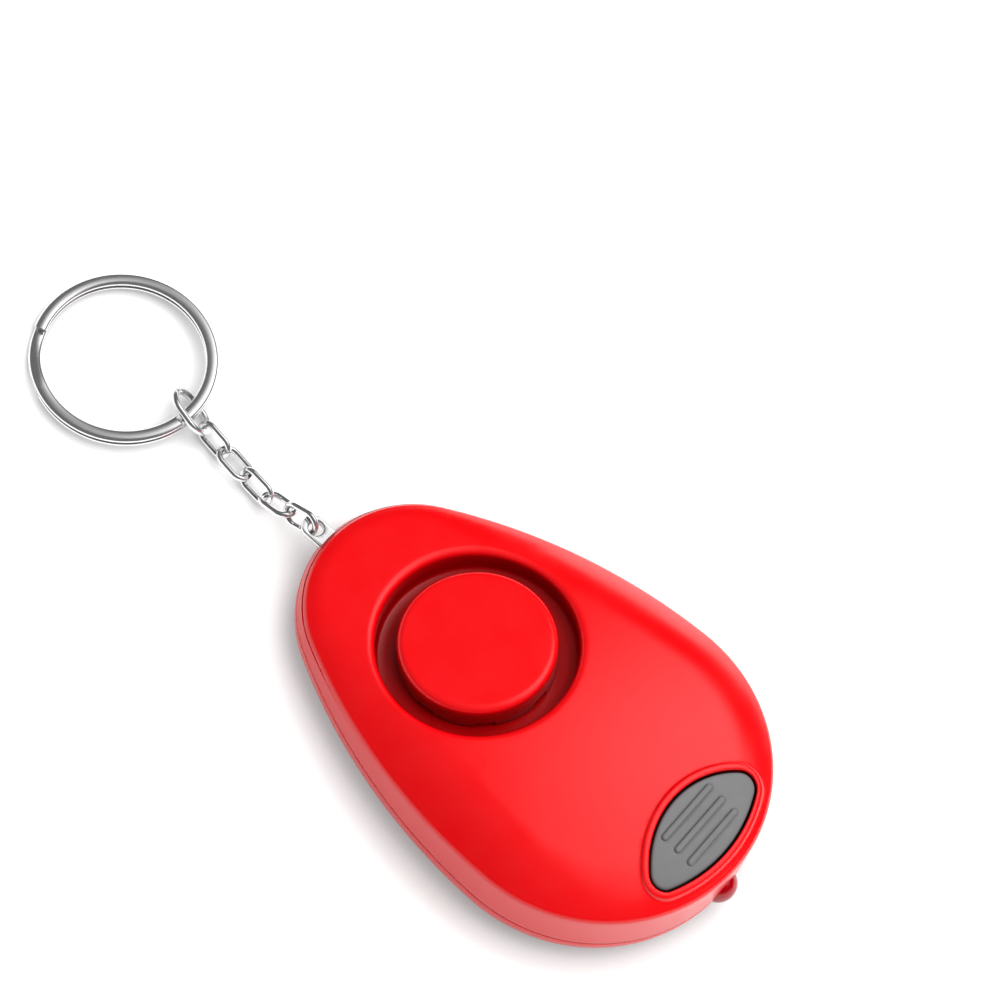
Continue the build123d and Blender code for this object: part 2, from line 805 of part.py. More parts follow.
# Key ring: two flat turns of band, joined by a ramp, leaning up to the jump ring
ring_middle = ring_radius - ring_band / 2
ring_rise = (ring_turn_height + ring_turn_gap) / 2
ring_along = direction(ring_lean_angle, ring_heading_angle)
ring_plane = Plane(
    origin=jump_centre + ring_along * ring_middle,
    x_dir=-ring_along,
    z_dir=ring_along.cross(Vector(0, 0, 1)).cross(ring_along).normalized(),
)


def ring_section(angle, rise):
    """Section of the upright key ring's band at an angle round it."""
    out = Vector(cos(radians(angle)), sin(radians(angle)), 0)
    centre = out * ring_middle + Vector(0, 0, rise)
    with BuildSketch(Plane(origin=centre, x_dir=out, z_dir=out.cross(Vector(0, 0, 1)))) as section:
        RectangleRounded(ring_band, ring_turn_height, ring_corner_radius)
    return section.sketch


turn_angle = 360 - ring_ramp_angle - ring_end_angle
with BuildPart() as ring_turns:
    add(ring_section(ring_start_angle, ring_rise))
    revolve(axis=Axis.Z, revolution_arc=turn_angle)
    add(ring_section(ring_start_angle - ring_ramp_angle, -ring_rise))
    revolve(axis=Axis.Z, revolution_arc=-turn_angle)
    for step in range(ring_ramp_steps + 1):
        share = step / ring_ramp_steps
        add(ring_section(ring_start_angle - ring_ramp_angle * share, ring_rise * (1 - 2 * share)))
    loft()
split_ring = ring_plane.location * ring_turns.part
split_ring.label = "split_ring"
export_step(split_ring, "parts/split_ring.step")

# Circuit board on its posts, with a window for the cells
with BuildPart() as circuit_board:
    with BuildSketch(Plane.XY.offset(board_height)):
        add(egg_face(board_inset))
        with Locations((board_end_x + broad_tip_x, 0)):
            Rectangle(case_length, case_length, mode=Mode.SUBTRACT)
        with Locations((cell_x, 0)):
            Rectangle(
                2 * window_reach,
                cell_count * (cell_thickness + cell_gap) + 2 * cell_gap,
                mode=Mode.SUBTRACT,
            )
        with Locations(case_screw_places):
            Circle(case_boss_radius + board_gap, mode=Mode.SUBTRACT)
        with Locations(board_screw_places):
            Circle(board_screw_radius + case_screw_gap, mode=Mode.SUBTRACT)
        with Locations((lead_bend_x, lead_spread), (lead_bend_x, -lead_spread)):
            Circle(lead_radius + case_screw_gap, mode=Mode.SUBTRACT)
    extrude(amount=board_thickness)
circuit_board.part.label = "circuit_board"
export_step(circuit_board.part, "parts/circuit_board.step")

with BuildPart() as siren_driver:
    with BuildSketch(Plane.XY.offset(board_top + chip_lift)):
        with Locations((siren_x, -chip_side)):
            Rectangle(chip_length, chip_width)
    extrude(amount=chip_height)
    with BuildSketch(Plane.XY.offset(board_top)):
        with Locations((siren_x, -chip_side)):
            with GridLocations(chip_leg_pitch, chip_width + chip_leg_reach, chip_leg_count, 2):
                Rectangle(chip_leg_width, chip_leg_reach)
    extrude(amount=chip_leg_height)
siren_driver.part.label = "siren_driver"
export_step(siren_driver.part, "parts/siren_driver.step")

coil_x = coil_place_share * case_length
coil_place = (coil_x, half_width(coil_x) - coil_edge)
with BuildPart() as boost_coil_core:
    with BuildSketch(Plane.XY.offset(board_top)):
        with Locations(coil_place):
            Circle(coil_radius)
    extrude(amount=coil_height)
    with BuildSketch(Plane.XY.offset(board_top + coil_flange)):
        with Locations(coil_place):
            Circle(coil_radius)
            Circle(coil_core_radius, mode=Mode.SUBTRACT)
    extrude(amount=coil_height - 2 * coil_flange, mode=Mode.SUBTRACT)
boost_coil_core.part.label = "boost_coil_core"
export_step(boost_coil_core.part, "parts/boost_coil_core.step")

with BuildPart() as boost_coil_winding:
    with BuildSketch(Plane.XY.offset(board_top + coil_flange)):
        with Locations(coil_place):
            Circle(winding_radius)
            Circle(coil_core_radius, mode=Mode.SUBTRACT)
    extrude(amount=coil_height - 2 * coil_flange)
boost_coil_winding.part.label = "boost_coil_winding"
export_step(boost_coil_winding.part, "parts/boost_coil_winding.step")

transistor_place = (transistor_x, transistor_edge - half_width(transistor_x))
with BuildPart() as transistor:
    with BuildSketch(Plane.XY.offset(board_top + transistor_lift)):
        with Locations(transistor_place):
            Circle(transistor_radius)
            with Locations((0, transistor_flat + transistor_radius)):
                Rectangle(2 * transistor_radius, 2 * transistor_radius, mode=Mode.SUBTRACT)
    extrude(amount=transistor_height)
    with BuildSketch(Plane.XY.offset(board_top)):
        with Locations(transistor_place):
            with GridLocations(chip_leg_pitch, 0, transistor_leg_count, 1):
                Circle(transistor_leg_radius)
    extrude(amount=transistor_lift)
transistor.part.label = "transistor"
export_step(transistor.part, "parts/transistor.step")

with BuildPart() as capacitor:
    with BuildSketch(Plane.XY.offset(board_top)):
        with Locations((capacitor_x, -capacitor_side)):
            Circle(capacitor_radius)
    extrude(amount=capacitor_height)
    fillet(capacitor.faces().sort_by(Axis.Z)[-1].edges(), capacitor_edge_radius)
capacitor.part.label = "capacitor"
export_step(capacitor.part, "parts/capacitor.step")

with BuildPart() as chip_resistors:
    with BuildSketch(Plane.XY.offset(board_top)):
        for number in range(resistor_count):
            resistor_x = siren_x - resistor_reach + number * (resistor_width + resistor_gap)
            with Locations((resistor_x, resistor_side)):
                Rectangle(resistor_width, resistor_length)
    extrude(amount=resistor_height)
chip_resistors.part.label = "chip_resistors"
export_step(chip_resistors.part, "parts/chip_resistors.step")

# Button cells, each a can with a smaller cap, in a row along Y
cell_height = floor_wall + cell_lift + cell_radius
with BuildPart() as battery_cell:
    for number in range(cell_count):
        cell_end = number * (cell_thickness + cell_gap) - row_length / 2
        with BuildSketch(Plane.XZ.offset(cell_end)):
            with Locations((cell_x, cell_height)):
                Circle(cell_radius)
        extrude(amount=cell_thickness - cell_cap_height)
        with BuildSketch(Plane.XZ.offset(cell_end + cell_thickness - cell_cap_height)):
            with Locations((cell_x, cell_height)):
                Circle(cell_cap_radius)
        extrude(amount=cell_cap_height)
battery_cell.part.label = "battery_cell"
export_step(battery_cell.part, "parts/battery_cell.step")


def cell_contact(side):
    """Contact plate at one end of the cells, bent out on to the board at its foot."""
    face_y = side * (row_length / 2 + cell_gap)
    back_y = face_y + side * plate_contact_thickness
    foot_y = face_y + side * plate_contact_foot
    top = board_top + plate_contact_height
    with BuildPart() as contact:
        with BuildSketch(Plane.YZ.offset(cell_x)):
            with BuildLine():
                Polyline(
                    (face_y, board_top),
                    (face_y, top),
                    (back_y, top),
                    (back_y, board_top + plate_contact_thickness),
                    (foot_y, board_top + plate_contact_thickness),
                    (foot_y, board_top),
                    close=True,
                )
            make_face()
        extrude(amount=plate_contact_width / 2, both=True)
    return contact.part


battery_contact_plus = cell_contact(1)
battery_contact_plus.label = "battery_contact_plus"
export_step(battery_contact_plus, "parts/battery_contact_plus.step")
battery_contact_minus = cell_contact(-1)
battery_contact_minus.label = "battery_contact_minus"
export_step(battery_contact_minus, "parts/battery_contact_minus.step")

# Pin switch: a post carries the sprung arm over the pin, with a fixed contact under it
arm_bottom = pin_top + contact_gap
with BuildPart() as moving_contact:
    with BuildSketch(Plane.XY.offset(arm_bottom)):
        with Locations((contact_x, contact_hinge_y + contact_root)):
            Rectangle(contact_width, contact_root + contact_arm, align=(Align.CENTER, Align.MAX))
    extrude(amount=contact_thickness)
moving_contact.part.label = "moving_contact"
export_step(moving_contact.part, "parts/moving_contact.step")

with BuildPart() as contact_post:
    with BuildSketch(Plane.XY.offset(board_top)):
        with Locations((contact_x, contact_hinge_y)):
            Rectangle(contact_width, post_width, align=(Align.CENTER, Align.MIN))
    extrude(amount=arm_bottom - contact_gap - board_top)
contact_post.part.label = "contact_post"
export_step(contact_post.part, "parts/contact_post.step")

fixed_top = pin_bottom - contact_gap
with BuildPart() as fixed_contact:
    with BuildSketch(Plane.YZ.offset(contact_x)):
        with BuildLine():
            Polyline(
                (-fixed_contact_reach, fixed_top),
                (-fixed_contact_reach, fixed_top - contact_thickness),
                (fixed_contact_reach - contact_thickness, fixed_top - contact_thickness),
                (fixed_contact_reach - contact_thickness, board_top),
                (fixed_contact_reach + fixed_contact_foot, board_top),
                (fixed_contact_reach + fixed_contact_foot, board_top + contact_thickness),
                (fixed_contact_reach, board_top + contact_thickness),
                (fixed_contact_reach, fixed_top),
                close=True,
            )
        make_face()
    extrude(amount=contact_width / 2, both=True)
fixed_contact.part.label = "fixed_contact"
export_step(fixed_contact.part, "parts/fixed_contact.step")

# Wires
red_foot_x, red_foot_y = red_wire_foot
red_head_x, red_head_y = red_wire_head
piezo_wire_red = sounder_wire(
    (siren_x + red_foot_x, red_foot_y),
    (siren_x + red_head_x, red_head_y),
    ceramic_depth + ceramic_thickness,
)
piezo_wire_red.label = "piezo_wire_red"
export_step(piezo_wire_red, "parts/piezo_wire_red.step")
black_foot_x, black_foot_y = black_wire_foot
black_head_x, black_head_y = black_wire_head
piezo_wire_black = sounder_wire(
    (cell_x + black_foot_x, black_foot_y),
    (siren_x + black_head_x, black_head_y),
    ceramic_depth,
)
piezo_wire_black.label = "piezo_wire_black"
export_step(piezo_wire_black, "parts/piezo_wire_black.step")

# Screws: four hold the covers, three hold the board
with BuildPart() as case_screws:
    with BuildSketch(Plane.XY.offset(screw_sink)):
        with Locations(case_screw_places):
            Circle(screw_head_radius)
    extrude(amount=-screw_head_height)
    with BuildSketch(Plane.XY.offset(screw_sink)):
        with Locations(case_screw_places):
            Circle(case_screw_radius)
    extrude(amount=case_screw_length)
    with BuildSketch(Plane.XY.offset(screw_sink - screw_head_height)):
        with Locations(case_screw_places):
            Rectangle(screw_cross_length, screw_cross_width)
            Rectangle(screw_cross_width, screw_cross_length)
    extrude(amount=screw_cross_depth, mode=Mode.SUBTRACT)
case_screws.part.label = "case_screws"
export_step(case_screws.part, "parts/case_screws.step")

with BuildPart() as board_screws:
    with BuildSketch(Plane.XY.offset(board_top)):
        with Locations(board_screw_places):
            Circle(board_screw_head_radius)
    extrude(amount=board_screw_head_height)
    with BuildSketch(Plane.XY.offset(board_top)):
        with Locations(board_screw_places):
            Circle(board_screw_radius)
    extrude(amount=-board_screw_length)
board_screws.part.label = "board_screws"
export_step(board_screws.part, "parts/board_screws.step")
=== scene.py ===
"""Personal safety alarm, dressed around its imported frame.

Everything is in metres, in the frame's own axes: the origin is at the middle of the flat back face,
+X points to the lamp, -X to the pull pin and its chain, and +Z up through the siren disc.
"""

from __future__ import annotations

import logging
import math
from dataclasses import dataclass, field
from enum import Enum
from typing import Callable, Sequence

import bmesh
import bpy
from mathutils import Matrix, Vector
from mathutils.geometry import delaunay_2d_cdt

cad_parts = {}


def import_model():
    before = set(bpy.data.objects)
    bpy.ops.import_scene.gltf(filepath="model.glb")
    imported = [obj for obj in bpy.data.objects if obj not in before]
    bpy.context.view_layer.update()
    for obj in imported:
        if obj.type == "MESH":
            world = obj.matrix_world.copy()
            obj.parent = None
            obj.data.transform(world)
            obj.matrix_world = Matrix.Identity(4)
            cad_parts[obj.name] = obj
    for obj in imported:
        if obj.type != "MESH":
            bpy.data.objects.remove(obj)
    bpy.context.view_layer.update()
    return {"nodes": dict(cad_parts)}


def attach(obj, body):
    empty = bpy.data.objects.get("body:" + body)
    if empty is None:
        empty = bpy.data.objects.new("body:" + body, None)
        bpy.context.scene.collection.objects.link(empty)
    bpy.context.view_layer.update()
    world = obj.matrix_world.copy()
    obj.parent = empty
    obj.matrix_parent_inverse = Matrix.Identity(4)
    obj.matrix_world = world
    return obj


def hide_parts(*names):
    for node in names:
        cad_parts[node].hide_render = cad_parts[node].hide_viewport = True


LOG = logging.getLogger("alarm")
Color = tuple[float, float, float]
Point2 = tuple[float, float]
Size3 = tuple[float, float, float]
Span = tuple[float, float, float, float]
Arc = tuple[Vector, float]

# Sizes that several pieces share, in metres
WALL = 0.0016
SEAM_HEIGHT = 0.0057
LAMP_HEIGHT = 0.0055
RECESS_DEPTH = 0.0044

# How far cutters stand out of what they cut, and points round fine and small circles
OVERRUN = 0.001
FINE_ROUND = 96
SMALL_ROUND = 32


# Outlines and forms of the case


@dataclass(frozen=True)
class EggOutline:
    """Plan outline of the case: two end arcs joined by two side arcs.

    Args:
        length: From the narrow end to the broad end.
        narrow_radius: Radius of the narrow end.
        broad_radius: Radius of the broad end.
        side_radius: Radius of the long side arcs.
    """

    length: float = 0.068
    narrow_radius: float = 0.0156
    broad_radius: float = 0.0231
    side_radius: float = 0.0775

    def centres(self) -> tuple[Vector, Vector, Vector]:
        """Centres of the narrow arc, the broad arc and the side arc on the +Y side.

        Returns:
            The three centres as 2-D vectors.
        """
        narrow = Vector((self.narrow_radius - self.length / 2, 0))
        broad = Vector((self.length / 2 - self.broad_radius, 0))
        span = broad.x - narrow.x
        narrow_arm = self.side_radius - self.narrow_radius
        broad_arm = self.side_radius - self.broad_radius
        reach = (narrow_arm**2 - broad_arm**2 + span**2) / (2 * span)
        side = Vector((narrow.x + reach, -math.sqrt(narrow_arm**2 - reach**2)))
        return narrow, broad, side

    def ring(self, count: int, inset: float) -> list[Point2]:
        """Points round the outline, evenly spaced and drawn in by an inset.

        Args:
            count: How many points.
            inset: How far inside the outline they lie.

        Returns:
            The points, anticlockwise from the broad end's tip.
        """
        narrow, broad, side = self.centres()
        ends = (broad, self.broad_radius), (narrow, self.narrow_radius)
        return mirrored_ring(*ends, (side, self.side_radius), count, -inset)

    def inset_at(self, x: float, y: float) -> float:
        """How far inside the outline a point lies, below zero outside it."""
        narrow, broad, side = self.centres()
        place = Vector((x, abs(y)))
        if (narrow - side).cross(place - side) > 0:
            return self.narrow_radius - (place - narrow).length
        if (broad - side).cross(place - side) < 0:
            return self.broad_radius - (place - broad).length
        return self.side_radius - (place - side).length


@dataclass(frozen=True)
class LeafOutline:
    """Plan outline of the light button: two arcs with rounded tips.

    Args:
        left_x: Where the left arc crosses the long axis.
        right_x: Where the right arc crosses the long axis.
        left_radius: Radius of the left arc.
        right_radius: Radius of the right arc.
        tip_radius: Radius of the two tips.
    """

    left_x: float = 0.022
    right_x: float = 0.0309
    left_radius: float = 0.0128
    right_radius: float = 0.020
    tip_radius: float = 0.0019

    def centres(self) -> tuple[Vector, Vector, Vector]:
        """Centres of the left arc, the right arc and the tip on the +Y side.

        Returns:
            The three centres as 2-D vectors.
        """
        left = Vector((self.left_x + self.left_radius, 0))
        right = Vector((self.right_x - self.right_radius, 0))
        left_arm = self.left_radius - self.tip_radius
        right_arm = self.right_radius - self.tip_radius
        tip_x = (right_arm**2 - left_arm**2 - right.x**2 + left.x**2) / (2 * (left.x - right.x))
        tip_y = math.sqrt(right_arm**2 - (tip_x - right.x) ** 2)
        return left, right, Vector((tip_x, tip_y))

    def ring(self, count: int, grow: float) -> list[Point2]:
        """Points round the leaf, evenly spaced and grown outwards.

        Args:
            count: How many points.
            grow: How far outside the leaf they lie.

        Returns:
            The points, anticlockwise from the middle of the right arc.
        """
        left, right, tip = self.centres()
        ends = (right, self.right_radius), (left, self.left_radius)
        return mirrored_ring(*ends, (tip, self.tip_radius), count, grow)

    def grow_at(self, x: float, y: float) -> float:
        """How far outside the leaf a point lies, below zero inside it."""
        left, right, tip = self.centres()
        place = Vector((x, abs(y)))
        if (tip - right).cross(place - tip) > 0 and (tip - left).cross(place - tip) < 0:
            return (place - tip).length - self.tip_radius
        return max((place - left).length - self.left_radius, (place - right).length - self.right_radius)


def mirrored_ring(first: Arc, last: Arc, side: Arc, count: int, grow: float) -> list[Point2]:
    """Points evenly spaced round arcs that are the same on both sides of the long axis.

    Args:
        first: Arc at the +X end.
        last: Arc at the -X end.
        side: Arc on the +Y side, which runs into both.
        count: How many points.
        grow: How far outside the arcs they lie, once the spacing is set.

    Returns:
        The points, anticlockwise from the +X end.
    """
    centre, radius = side

    def turn(end: Arc) -> float:
        """Angle at which an end arc meets the side arc."""
        low, high = (centre, end[0]) if radius > end[1] else (end[0], centre)
        return math.atan2(high.y - low.y, high.x - low.x)

    near, far, full = turn(first), turn(last), 2 * math.pi
    mirror = Vector((centre.x, -centre.y)), radius
    arcs = (
        (*first, 0.0, near),
        (*side, near, far),
        (*last, far, full - far),
        (*mirror, full - far, full - near),
        (*first, full - near, full),
    )
    lengths = [radius * (end - start) for _, radius, start, end in arcs]
    total = sum(lengths)
    points = []
    for number in range(count):
        along = total * number / count
        place = 0
        while along > lengths[place]:
            along -= lengths[place]
            place += 1
        middle, bend, start, _ = arcs[place]
        angle = start + along / bend
        reach = bend + grow
        points.append((middle.x + reach * math.cos(angle), middle.y + reach * math.sin(angle)))
    return points


def soft_min(first: float, second: float, blend: float) -> float:
    """Smaller of two heights, rounded where they cross."""
    if blend <= 0:
        return min(first, second)
    near = max(blend - abs(first - second), 0.0) / blend
    return min(first, second) - near * near * blend / 4


@dataclass(frozen=True)
class DomeForm:
    """Form of the case above its seam, outside or inside its wall.

    Args:
        outline: Plan outline of the case.
        top: Height of the dome's highest point.
        apex_x: Where that point lies.
        long_radius: Radius of the dome along the case.
        cross_radius: Radius of the dome across the case.
        nose_slope: Slope of the straight nose, in radians.
        crease_height: Height of the crease at the origin.
        crease_slope: Slope of the crease along the case, in radians.
        crease_inset: How far the crease is drawn in from the seam.
        roll_draft: Lean of the rolled edge above the crease, in radians from upright.
        roll_blend: How widely the rolled edge runs into the dome.
        wall: Thickness between the outside and this form.
    """

    outline: EggOutline = EggOutline()
    top: float = 0.01675
    apex_x: float = 0.0138
    long_radius: float = 0.1
    cross_radius: float = 0.111
    nose_slope: float = math.radians(13.41)
    crease_height: float = 0.0106
    crease_slope: float = math.radians(5.23)
    crease_inset: float = 0.0006
    roll_draft: float = math.radians(48)
    roll_blend: float = 0.0026
    wall: float = 0.0

    def spine(self, x: float) -> float:
        """Height of the dome above the long axis."""
        arc = self.long_radius - self.wall
        bend_x = self.apex_x - arc * math.sin(self.nose_slope)
        if x < bend_x:
            bend = self.top - self.long_radius + arc * math.cos(self.nose_slope)
            return bend + (x - bend_x) * math.tan(self.nose_slope)
        return self.top - self.long_radius + math.sqrt(arc**2 - (x - self.apex_x) ** 2)

    def dome(self, x: float, y: float) -> float:
        """Height of the dome with no rolled edge."""
        axis = self.top - self.cross_radius
        return axis + math.sqrt((self.spine(x) - axis) ** 2 - y * y)

    def crease(self, x: float) -> float:
        """Height of the crease."""
        drop = self.wall * math.tan(self.roll_draft / 2)
        return self.crease_height - drop + x * math.tan(self.crease_slope)

    def height(self, x: float, y: float) -> float:
        """Height of the surface, from the crease over the rolled edge to the dome."""
        inset = max(self.outline.inset_at(x, y) - self.crease_inset - self.wall, 0.0)
        crease = self.crease(x)
        dome = self.dome(x, y)
        roll = crease + inset / math.tan(self.roll_draft)
        return soft_min(dome, roll, min(self.roll_blend, max(dome - crease, 0.0)))


@dataclass(frozen=True)
class SirenAxis:
    """Axis of the siren recess, square to the sloping nose.

    Args:
        form: Outer form of the case.
        x: Where the axis meets the nose.
        tries: How many steps find where a line meets a surface.
    """

    form: DomeForm = DomeForm()
    x: float = -0.00998
    tries: int = 8

    def forward(self) -> Vector:
        """Direction up the nose, square to the axis."""
        return Vector((math.cos(self.form.nose_slope), 0, math.sin(self.form.nose_slope)))

    def up(self) -> Vector:
        """Direction of the axis."""
        return Vector((-math.sin(self.form.nose_slope), 0, math.cos(self.form.nose_slope)))

    def place(self, radius: float, angle: float, rise: float) -> Vector:
        """Point at a radius, an angle and a rise along the axis.

        Args:
            radius: Distance from the axis.
            angle: Turn about the axis.
            rise: Height along the axis above the nose.

        Returns:
            The point in the frame.
        """
        origin = Vector((self.x, radius * math.sin(angle), self.form.spine(self.x)))
        return origin + self.forward() * radius * math.cos(angle) + self.up() * rise

    def ring(self, radius: float, rise: float, count: int) -> list[Vector]:
        """Circle of points about the axis."""
        return [self.place(radius, 2 * math.pi * n / count, rise) for n in range(count)]

    def rise_of(self, surface: DomeForm, radius: float, angle: float) -> float:
        """Rise at which a line along the axis meets a surface.

        Args:
            surface: The surface.
            radius: The line's distance from the axis.
            angle: Its turn about the axis.

        Returns:
            The rise above the nose.
        """
        rise = 0.0
        for _ in range(self.tries):
            spot = self.place(radius, angle, rise)
            rise += (surface.height(spot.x, spot.y) - spot.z) * math.cos(self.form.nose_slope)
        return rise

    def radius_at(self, surface: DomeForm, x: float, y: float) -> float:
        """Distance from the axis of a place on a surface."""
        height = surface.height(x, y) - self.form.spine(self.x)
        along = (x - self.x) * math.cos(self.form.nose_slope) + height * math.sin(self.form.nose_slope)
        return math.hypot(along, y)


# Mesh weaving


class Weave:
    """Vertices and faces of one mesh, woven ring by ring."""

    border_gap = 0.55
    merge_distance = 1e-9

    def __init__(self) -> None:
        """Starts with no vertices and no faces."""
        self.points: list[Vector] = []
        self.faces: list[tuple[int, ...]] = []

    def ring(self, points: Sequence[Vector]) -> list[int]:
        """Adds vertices.

        Args:
            points: Where they lie.

        Returns:
            Their numbers.
        """
        start = len(self.points)
        self.points.extend(Vector(point) for point in points)
        return list(range(start, len(self.points)))

    def strip(self, lower: Sequence[int], upper: Sequence[int]) -> None:
        """Joins two closed rings by four-sided faces that look outwards.

        Args:
            lower: The lower or inner ring, anticlockwise from above.
            upper: The ring that it runs up or out to.
        """
        count = len(lower)
        for number in range(count):
            after = (number + 1) % count
            self.faces.append((lower[number], lower[after], upper[after], upper[number]))

    def rings(self, rows: Sequence[Sequence[Vector]]) -> list[list[int]]:
        """Adds a row of rings, each joined to the next.

        Args:
            rows: The rings' points.

        Returns:
            The rings' vertex numbers.
        """
        numbers = [self.ring(row) for row in rows]
        for lower, upper in zip(numbers, numbers[1:]):
            self.strip(lower, upper)
        return numbers

    def cap(self, ring: Sequence[int], centre: Vector, up: bool = True) -> None:
        """Closes a ring with a fan.

        Args:
            ring: The ring, anticlockwise from above.
            centre: Middle of the fan.
            up: Whether its faces look up.
        """
        (middle,) = self.ring([centre])
        count = len(ring)
        for number in range(count):
            after = (number + 1) % count
            pair = (ring[number], ring[after]) if up else (ring[after], ring[number])
            self.faces.append((*pair, middle))

    def fill(
        self,
        borders: Sequence[Sequence[int]],
        inside: Callable[[float, float], float],
        spacing: float,
        height: Callable[[float, float], float],
        up: bool = True,
    ) -> None:
        """Fills the space between rings with small even triangles on a surface.

        Args:
            borders: The outer ring and the rings of any holes.
            inside: How far within the space a place lies, below zero outside.
            spacing: Distance between neighbouring vertices.
            height: Height of the surface.
            up: Whether its faces look up.
        """
        flat: list[Point2] = []
        numbers: list[int] = []
        edges: list[tuple[int, int]] = []
        for border in borders:
            start = len(flat)
            count = len(border)
            for step, number in enumerate(border):
                flat.append((self.points[number].x, self.points[number].y))
                numbers.append(number)
                edges.append((start + step, start + (step + 1) % count))
        low_x = min(x for x, _ in flat)
        high_x = max(x for x, _ in flat)
        low_y = min(y for _, y in flat)
        high_y = max(y for _, y in flat)
        row_height = spacing * math.sqrt(0.75)
        rows = int((high_y - low_y) / row_height) + 1
        columns = int((high_x - low_x) / spacing) + 2
        added = []
        for row in range(rows + 1):
            y = low_y + row * row_height
            for column in range(columns):
                x = low_x + (column - (row % 2) / 2) * spacing
                if inside(x, y) > self.border_gap * spacing:
                    added.append((x, y))
        flat.extend(added)
        numbers.extend(self.ring([Vector((x, y, height(x, y))) for x, y in added]))
        spots = [Vector(point) for point in flat]
        found, _, triangles, sources, _, _ = delaunay_2d_cdt(spots, edges, [], 0, self.merge_distance)
        for triangle in triangles:
            middle = sum((found[corner] for corner in triangle), Vector((0, 0))) / len(triangle)
            if inside(middle.x, middle.y) > 0:
                corners = [numbers[sources[corner][0]] for corner in triangle]
                self.faces.append(tuple(corners if up else reversed(corners)))

    def mesh(self, name: str) -> bpy.types.Object:
        """Makes a smooth-shaded object of what is woven.

        Args:
            name: The object's name.

        Returns:
            The new object, linked to the scene.
        """
        data = bpy.data.meshes.new(name)
        data.from_pydata([tuple(point) for point in self.points], [], self.faces)
        data.validate()
        return show(name, data)


def show(name: str, data: bpy.types.Mesh) -> bpy.types.Object:
    """Links a mesh to the scene with smooth faces.

    Args:
        name: The object's name.
        data: Its mesh.

    Returns:
        The object.
    """
    data.polygons.foreach_set("use_smooth", [True] * len(data.polygons))
    data.update()
    piece = bpy.data.objects.new(name, data)
    bpy.context.scene.collection.objects.link(piece)
    return piece


def carve(piece: bpy.types.Object, cutters: Sequence[bpy.types.Object]) -> None:
    """Cuts closed tools out of a piece and deletes them.

    Args:
        piece: The piece to cut.
        cutters: The closed tools.
    """
    for cutter in cutters:
        cut = piece.modifiers.new("cut", "BOOLEAN")
        cut.operation = "DIFFERENCE"
        cut.solver = "EXACT"
        cut.object = cutter
    settle(piece)
    for cutter in cutters:
        bpy.data.objects.remove(cutter)


def settle(piece: bpy.types.Object) -> None:
    """Replaces a piece's mesh by what its modifiers make, and removes them."""
    graph = bpy.context.evaluated_depsgraph_get()
    data = bpy.data.meshes.new_from_object(piece.evaluated_get(graph))
    piece.modifiers.clear()
    piece.data = data


def solid_of_rings(name: str, rows: Sequence[Sequence[Vector]]) -> bpy.types.Object:
    """Closed solid from a row of rings, its two ends fanned shut.

    Args:
        name: The object's name.
        rows: Rings from the bottom up, anticlockwise from above.

    Returns:
        The solid.
    """
    weave = Weave()
    numbers = weave.rings(rows)
    bottom = sum(rows[0], Vector()) / len(rows[0])
    top = sum(rows[-1], Vector()) / len(rows[-1])
    weave.cap(numbers[0], bottom, up=False)
    weave.cap(numbers[-1], top)
    return weave.mesh(name)


def prism(
    name: str, ring: Sequence[Point2], start: Vector, end: Vector, across: Vector
) -> bpy.types.Object:
    """Closed bar with a flat section.

    Args:
        name: The object's name.
        ring: The section, anticlockwise, along across and square to it.
        start: Middle of one end.
        end: Middle of the other end.
        across: Direction of the section's first axis.

    Returns:
        The bar.
    """
    side = (end - start).normalized().cross(across)
    rows = [[middle + across * a + side * b for a, b in ring] for middle in (start, end)]
    return solid_of_rings(name, rows)


def circle(radius: float, count: int = 48) -> list[Point2]:
    """Points round a circle, anticlockwise."""
    angles = [2 * math.pi * number / count for number in range(count)]
    return [(radius * math.cos(angle), radius * math.sin(angle)) for angle in angles]


def rounded_box(width: float, height: float, radius: float, steps: int = 6) -> list[Point2]:
    """Points round a rectangle with rounded corners, anticlockwise."""
    points = []
    for number, (right, top) in enumerate(((1, 1), (-1, 1), (-1, -1), (1, -1))):
        for step in range(steps + 1):
            angle = math.pi / 2 * (number + step / steps)
            points.append(
                (
                    right * (width / 2 - radius) + radius * math.cos(angle),
                    top * (height / 2 - radius) + radius * math.sin(angle),
                )
            )
    return points


def quarter_round(radius: float, steps: int) -> list[Point2]:
    """Inset and drop of points round a rounded edge, from its side to its top."""
    turns = [math.pi / 2 * step / steps for step in range(steps + 1)]
    return [(radius * (1 - math.cos(turn)), radius * (1 - math.sin(turn))) for turn in turns]


# The case


